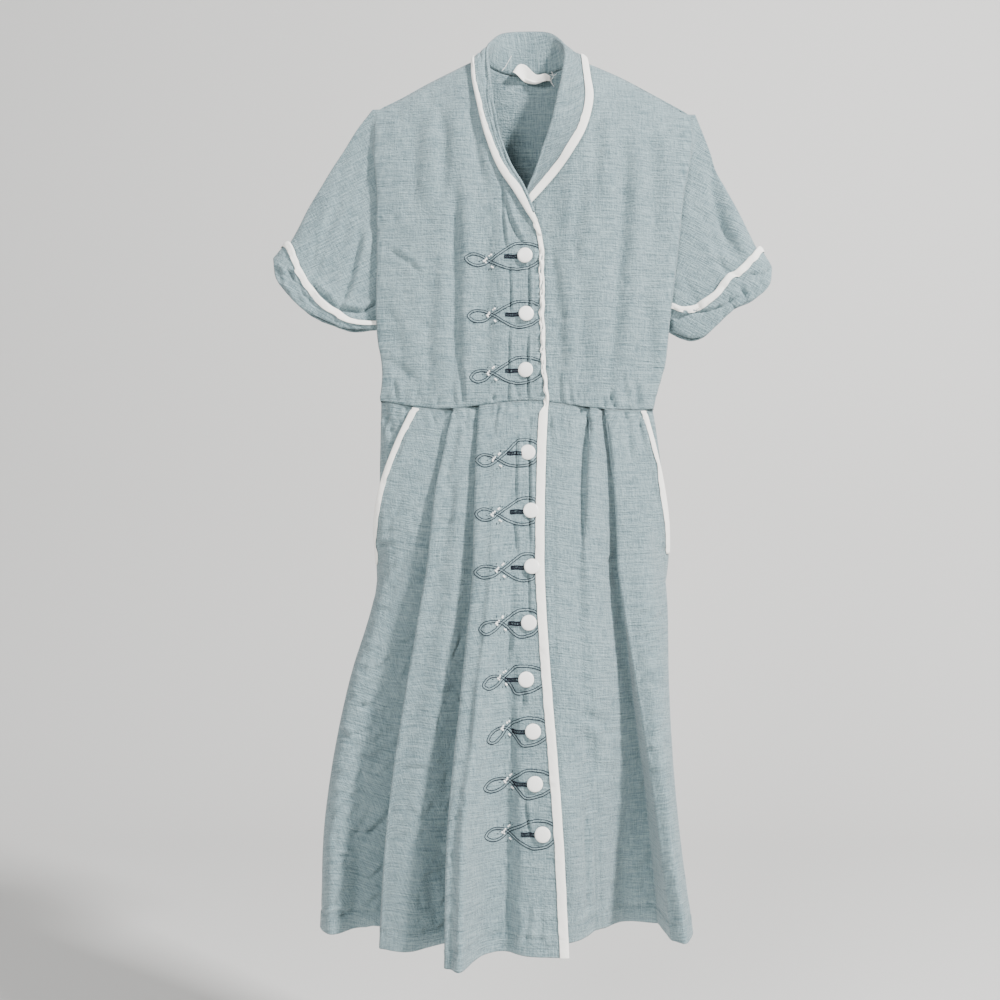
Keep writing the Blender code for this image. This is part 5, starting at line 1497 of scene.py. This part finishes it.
# Cuffs
CUFF_STEPS = [2, 2, 2, 10, 16, 6]
CUFF_CRUMPLE = {"right": 2.6, "left": 1.8}
CUFF_BIAS = 30                # degrees by which the weave turns on a cuff
CUFF_BAND = 7.6               # what shows of its binding
CUFF_BAND_CHANGE = 1.8        # and how much more or less in places
CUFF_TWIST = 0.8
CUFF_CREASES = {
    "right": scattered(16, 34, (-345, -350, -200, -240), 120, 40, 20, 2.2, 1.8) + [
        (-323, -266, -315, -284, 4, 2.2, 4.5), (-340, -262, -329, -278, 3, 2.4, 4.0),
        (-330, -284, -316, -297, -3, 2.2, 3.6), (-336, -290, -312, -312, 2, 3.0, 3.0),
        (-322, -240, -306, -262, 3, 2.4, 2.4), (-304, -296, -284, -318, 2, 2.0, 2.4)],
    "left": scattered(17, 34, (175, -360, 305, -240), 105, 22, 18, 2.2, 1.6) + [
        (183, -332, 202, -323, 1, 1.9, 3.6), (197, -324, 234, -319, 1, 1.9, 3.4),
        (228, -320, 252, -311, 1, 1.9, 3.6), (246, -313, 266, -301, 1, 1.9, 3.8),
        (275, -273, 292, -274, 2, 1.9, 3.4), (288, -274, 307, -263, -2, 1.9, 3.4),
        (265, -282, 277, -307, 1, 2.6, 5.0), (250, -300, 262, -318, 0, 2.4, 3.0),
        (222, -306, 226, -320, 0, 2.0, 2.2), (208, -310, 211, -324, 0, 2.0, 2.0),
        (236, -302, 241, -318, 0, 2.0, 2.4)],
}
for side, front, rear, seed in (("right", sleeve_right, sleeve_right_back, 2),
                                ("left", sleeve_left, sleeve_left_back, 3)):
    cuff, (inner_facing, edge_facing) = cuff_patch(side, front, rear)
    cuff = refined(cuff.transpose(1, 0, 2), CUFF_STEPS)
    cuff = crumpled(cuff, FRONT, CUFF_CREASES[side], STILL["cuff"], seed + 20, CUFF_CRUMPLE[side],
                    True)
    cloth("cuff_" + side, [cuff.transpose(1, 0, 2)], linen, [("turned", CUFF_BIAS)])
    widths = CUFF_BAND + CUFF_BAND_CHANGE * wavering(lengths(cuff[:, -1]), 13, seed)
    binding("binding_cuff_" + side, cuff[:, -1], cuff[:, -1 - CUFF_STEPS[-1]], edge_facing,
            inner_facing, BENT_OFF, widths, CUFF_TWIST, seed)

# Front edge binding, from under the collar's end to the hem: height and what shows of it
FRONT_WIDTHS = [(-200, 4.5), (-222, 4.2), (-240, 4.2), (-428, 3.8), (-434, 2.6), (-440, 5.6),
                (-448, 3.2), (-456, 9.3), (-1110, 9.3)]
BINDING_TOP = -198.0
TWISTED_TOP = -235.0          # it is twisted from here down to the waist seam
# Twist, change of what shows and sway: where it lies flat, and what is added where it is twisted
FRONT_WAVER = [(0.3, 4.2), (0.5, 1.1), (0.3, 1.6)]
first = int(np.argmax(front_right[:, 0, 2] < BINDING_TOP))
bodice_normals = outward_normals(front_right[:, :4], FRONT)[first:-1]
skirt_normals = outward_normals(skirt_right[:, ::-1][:, :8], FRONT)[1:]
edge, inner, edge_facing, inner_facing = (through(np.vstack(halves), 2) for halves in (
    (front_right[first:-1, 0], skirt_right[1:, -1]),
    (front_right[first:-1, 1], skirt_right[1:, -1 - EDGE_STEPS]),
    (bodice_normals[:, 0], skirt_normals[:, 0]),
    (bodice_normals[:, 1], skirt_normals[:, EDGE_STEPS])))
heights, run = edge[:, 2], lengths(edge)
twisted = smooth((heights - WAIST + 2) / 10) * smooth((TWISTED_TOP - heights) / 25)
twist, change, sway = (flat + more * twisted for flat, more in FRONT_WAVER)
widths = by_height(FRONT_WIDTHS, heights) + change * wavering(run, 6, 33)
sway = unit(inner - edge) * (sway * wavering(run, 14, 34))[:, None]
edge, inner = edge + sway, inner + sway
binding("binding_front", edge, inner, unit(edge_facing), unit(inner_facing), BINDING_OFF, widths,
        twist[:, None], 4)

# Pocket bindings: height and what shows of them
POCKET_WIDTHS = {
    "right": [(-445, 8), (-470, 7), (-500, 6.5), (-560, 6.5), (-600, 7), (-616, 5), (-624, 2),
              (-632, 5), (-655, 4.5)],
    "left": [(-445, 6), (-470, 4.5), (-500, 5.5), (-520, 3.5), (-545, 7), (-580, 8), (-620, 8),
             (-636, 7)],
}
POCKET_CHANGE = 0.8           # how much more or less shows in places
POCKET_TWIST = 0.6
POCKET_END = {"right": -652, "left": -636}
for side, grid, seed in (("right", skirt_right, 5), ("left", skirt_left[:, ::-1], 6)):
    rows = [r for r in range(1, len(grid)) if grid[r, 0, 2] > POCKET_END[side]]
    facing = outward_normals(grid[:, :8], FRONT)[rows]
    edge_z = grid[rows, 0, 2]
    widths = by_height(POCKET_WIDTHS[side], edge_z) + POCKET_CHANGE * wavering(-edge_z, 10, seed)
    binding("binding_pocket_" + side, grid[rows, 0], grid[rows, EDGE_STEPS], facing[:, 0],
            facing[:, EDGE_STEPS], BINDING_OFF, widths, POCKET_TWIST, seed)

# Label, a curled strip: share of the way across and height of its upper and its lower edge
TAG_TOP = [(0, -3), (0.16, 7.5), (0.33, 8), (0.64, -6), (0.88, -5), (1, -9)]
TAG_BOTTOM = [(0, -5), (0.44, -17), (0.62, -18.5), (1, -16)]
# Its waves: height, pace and start across it, share at the upper edge, share added down to the
# lower edge. Near the lower edge it is rolled.
TAG_WAVES = [(2.2, 9, 1.5, 0.3, 0.7), (1.6, 17, 0, 0, 1)]
TAG_ROLL = {"height": 1.6, "at": 0.8, "slant": 0.1, "width": 0.07, "start": 0.25, "fade": 0.2}
TAG_FORWARD = 2.0
tag = refined(label_patch(), 5).transpose(1, 0, 2)
tag = refined(tag, 5).transpose(1, 0, 2)
across = np.linspace(0, 1, tag.shape[1])
down = np.linspace(0, 1, tag.shape[0])[:, None]
top, bottom = (np.array([hermite(*zip(*line), u) for u in across]) for line in (TAG_TOP, TAG_BOTTOM))
tag[..., 2] = top + (bottom - top) * down
for height, pace, start, least, more in TAG_WAVES:
    tag[..., 1] -= height * np.sin(across * pace + start) * (least + more * down)
rolled = np.exp(-((down - TAG_ROLL["at"] - TAG_ROLL["slant"] * across) / TAG_ROLL["width"]) ** 2)
rolled = rolled * smooth((across - TAG_ROLL["start"]) / TAG_ROLL["fade"])
tag[..., 1] -= TAG_ROLL["height"] * rolled + TAG_FORWARD
cloth("label", [tag], white, [("edge", 0)], LABEL_CLOTH)

# Buttons
laid_front = Surface(front_right, skirt_right)
for number, (x, z) in enumerate(BUTTONS, start=1):
    button(laid_front, number, x, z)

# Corded loops, one to a button: x, z of the crossing and of the tail's end, from the button
MOTIFS = [
    (-45, -6, -75, -3), (-42, -1, -73, -2.5), (-42, -4, -70, -9), (-38, -9, -64, -9.5),
    (-42, -4.5, -68, -4), (-38, -4, -70, -6.5), (-34, 0, -60, -7.5), (-28, 2, -52, -5),
    (-32, 3, -55, -9.5), (-30, 1.5, -61, -3.5), (-42, -1, -69, -2),
]
CORD_HALF = 1.45              # half the width of the cord between its two dark threads
# Lines along the cord: share of its half width, height over the cloth
CORD_LINES = [(-0.9, 0.55), (-0.5, 1.05), (0, 1.2), (0.5, 1.05), (0.9, 0.55)]
CORD_FROM_EDGE = {"bodice": 4.2, "skirt": BINDING_WIDTH - 1}   # where its ends go under
CORD_WAVE = 0.3               # how far it wavers, and over what distance
CORD_WAVE_PACE = 7
# Knots and ticks of thread round a loop's crossing: x, z, and a tick's lean in degrees
KNOTS = [(0.4, 6.4), (2.0, 7.8), (2.8, -7.4), (4.2, -8.6), (-5.0, 1.0), (-6.8, -0.4),
         (-5.6, -2.0), (-3.8, 3.0)]
TICKS = [(6.5, 9.5, 60), (3.5, 11, 110), (-1, -11.5, 80), (3, -11, 120), (-10, 1, 30),
         (-13, -1, 160), (-6, 8, 70), (7.5, -8.5, 40)]
TICK_HALF = 1.4               # half the length of a tick
# Worked buttonhole: how far it begins beside the button, its stitches, their spacing, half the
# height of a stitch and of the first two, half the distance between its rails, how far it lies
# below the button's middle, and the length of the rails
HOLE = {"reach": 16.5, "stitches": 15, "pace": 1.42, "half": 2.2, "end_half": 2.9, "rail": 1.9,
        "drop": 1.0, "length": 20}
# Threads: radius and height over the cloth
EDGE_THREAD = {"radius": 0.46, "off": 0.9}
TICK_THREAD = {"radius": 0.42, "off": 0.95}
HOLE_THREAD = {"radius": 0.5, "off": 0.9}
RAIL_THREAD = {"radius": 0.72, "off": 1.1}
KNOT_RADIUS = (1.1, 1.5)
KNOT_OFF = 1.15

dark = Stitches("loop_threads", navy)
holes = Stitches("buttonholes", navy)
dots = Stitches("loop_knots", knot_white)
cord_verts, cord_faces, cord_uvs, cord_count = [], [], [], 0
for number, ((x, z), motif) in enumerate(zip(BUTTONS, MOTIFS)):
    luck = random.Random(100 + number)
    edge_x = float(np.interp(-z, -heights, edge[:, 0]))
    edge_x -= CORD_FROM_EDGE["bodice" if z > WAIST else "skirt"]
    path = loop_path(edge_x - x, motif) + (x, z)
    run = unit(np.gradient(path, axis=0))
    square = np.stack([-run[:, 1], run[:, 0]], axis=1)
    wave = CORD_WAVE * np.array([[noise.noise(Vector((*(p / CORD_WAVE_PACE), number)))]
                                 for p in path])
    for way in (-1, 1):
        line = path + square * (CORD_HALF * way + wave)
        dark.tube(laid_front.line(line, EDGE_THREAD["off"]), EDGE_THREAD["radius"])
    strip = [laid_front.line(path + square * (CORD_HALF * share + wave), off)
             for share, off in CORD_LINES]
    if len({len(line) for line in strip}) == 1:
        strip = np.stack(strip, axis=1)
        cord_verts.append(strip.reshape(-1, 3))
        cord_uvs.append(thread_lines(strip, ("edge", 0)).reshape(-1, 2))
        cord_faces.append(grid_faces(*strip.shape[:2], cord_count))
        cord_count += strip.shape[0] * strip.shape[1]
    cross = np.array([x + motif[0], z + motif[1]])
    for dx, dz in KNOTS:
        spot = laid_front.at(cross[0] + dx + luck.uniform(-0.7, 0.7), cross[1] + dz, KNOT_OFF)
        dots.knot(spot, luck.uniform(*KNOT_RADIUS))
    for dx, dz, lean in TICKS:
        angle = math.radians(lean + luck.uniform(-15, 15))
        half = TICK_HALF * np.array([math.cos(angle), math.sin(angle)])
        ends = [cross + (dx, dz) + t * half for t in (-1, 0, 1)]
        dark.tube(laid_front.line(ends, TICK_THREAD["off"]), TICK_THREAD["radius"], 5)
    # The buttonhole is a ladder of stitches from left of the button to its shank
    hole_x, hole_z = x - BUTTON_RADIUS - HOLE["reach"], z - HOLE["drop"]
    for step in range(HOLE["stitches"]):
        at_x = hole_x + step * HOLE["pace"]
        tall = HOLE["end_half" if step < 2 else "half"] + luck.uniform(-0.3, 0.3)
        middle = hole_z + 0.4 * math.sin(step * 0.9)
        ends = [(at_x + luck.uniform(-0.2, 0.2), middle + t * tall) for t in (-1, -0.5, 0, 0.5, 1)]
        holes.tube(laid_front.line(ends, HOLE_THREAD["off"]), HOLE_THREAD["radius"], 5)
    for rail in (-HOLE["rail"], HOLE["rail"]):
        line = [(hole_x + t * HOLE["length"], hole_z + rail + 0.3 * math.sin(t * 9 + number))
                for t in np.linspace(0, 1, 14)]
        holes.tube(laid_front.line(line, RAIL_THREAD["off"]), RAIL_THREAD["radius"])

# Hem stitches
STITCH = np.array([0, 0.8, 1.6, 2.3])   # points along one stitch
STITCH_PACE = 3.6
STITCH_OFF = 0.12
hem = Stitches("hem_stitches", linen_thread)
for grid, facing in zip(skirts, (FRONT, FRONT, REAR)):
    normals = outward_normals(grid, facing)
    down = lengths(grid, 0)
    row = int(np.argmin(np.abs((down[-1] - down).mean(axis=1) - HEM_DEPTH)))
    line, reach = grid[row] + normals[row] * (CLOTH_WALL / 2 + STITCH_OFF), lengths(grid[row])
    for start in np.arange(6, reach[-1] - 8, STITCH_PACE):
        hem.tube(read_line(line, reach, start + STITCH), 0.26, 5)
for threads in (hem, dark, holes, dots):
    threads.made()
cords = add_mesh("loop_cords", np.vstack(cord_verts), np.vstack(cord_faces), linen,
                 np.vstack(cord_uvs))
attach(cords, "root")

# Loose threads at the label
loose = Stitches("loose_threads", knot_white)
for points, steps, radius in (
        ([(-30, 10, 16), (-34, 12, 10), (-39, 14, 2), (-43, 13, -3)], 6, 0.3),
        ([(22, 12, -4), (24, 9, -12), (21, 8, -18), (25, 6, -26)], 6, 0.3),
        ([(20, 12, -8), (26, 12, -9), (29, 13, -6)], 5, 0.25)):
    loose.tube(through(points, steps), radius)
loose.made()

# Stage: a pale floor that runs up into a wall behind the dress
STAGE = {"floor": -1450, "wall": 2400, "bend": 900, "near": -3000, "top": 2500, "half": 4000}
bend_y, bend_z = STAGE["wall"] - STAGE["bend"], STAGE["floor"] + STAGE["bend"]
profile = [(STAGE["near"], STAGE["floor"]), (bend_y, STAGE["floor"])]
profile += [(bend_y + STAGE["bend"] * math.sin(a), bend_z - STAGE["bend"] * math.cos(a))
            for a in np.linspace(0.08, math.pi / 2, 18)]
profile.append((STAGE["wall"], STAGE["top"]))
sweep = np.array([[(x, y, z) for x in (-STAGE["half"], STAGE["half"])] for y, z in profile])
ground, _, _ = shader_of("backdrop", 0.9, BACKDROP)
backdrop = add_mesh("backdrop", sweep.reshape(-1, 3), grid_faces(*sweep.shape[:2]), ground)

# Lamps: place, the point they are turned to, size, watts
LAMPS = {
    "key": ((2.9, -2.35, 2.2), (0, 0, -0.45), 0.5, 500),
    "fill": ((-1.3, -2.6, 0.7), (0, 0, -0.3), 1.2, 66),
}
SKY_STRENGTH = 0.38
for name, setting in LAMPS.items():
    lamp(name, *setting)
world = bpy.data.worlds.new("studio")
world.use_nodes = True
sky = world.node_tree.nodes["Background"]
sky.inputs["Color"].default_value = (*SKY, 1)
sky.inputs["Strength"].default_value = SKY_STRENGTH
bpy.context.scene.world = world

# Camera
SENSOR = 36
PICTURE_WIDTH = 1300.0        # what the picture spans in the plane of the shoulders
lens = bpy.data.cameras.new("camera")
lens.sensor_width = SENSOR
lens.lens = SENSOR * -EYE[1] / PICTURE_WIDTH
eye = bpy.data.objects.new("camera", lens)
eye.location = [value * MM for value in EYE]
eye.rotation_euler = (math.pi / 2, 0, 0)
bpy.context.scene.collection.objects.link(eye)
bpy.context.scene.camera = eye
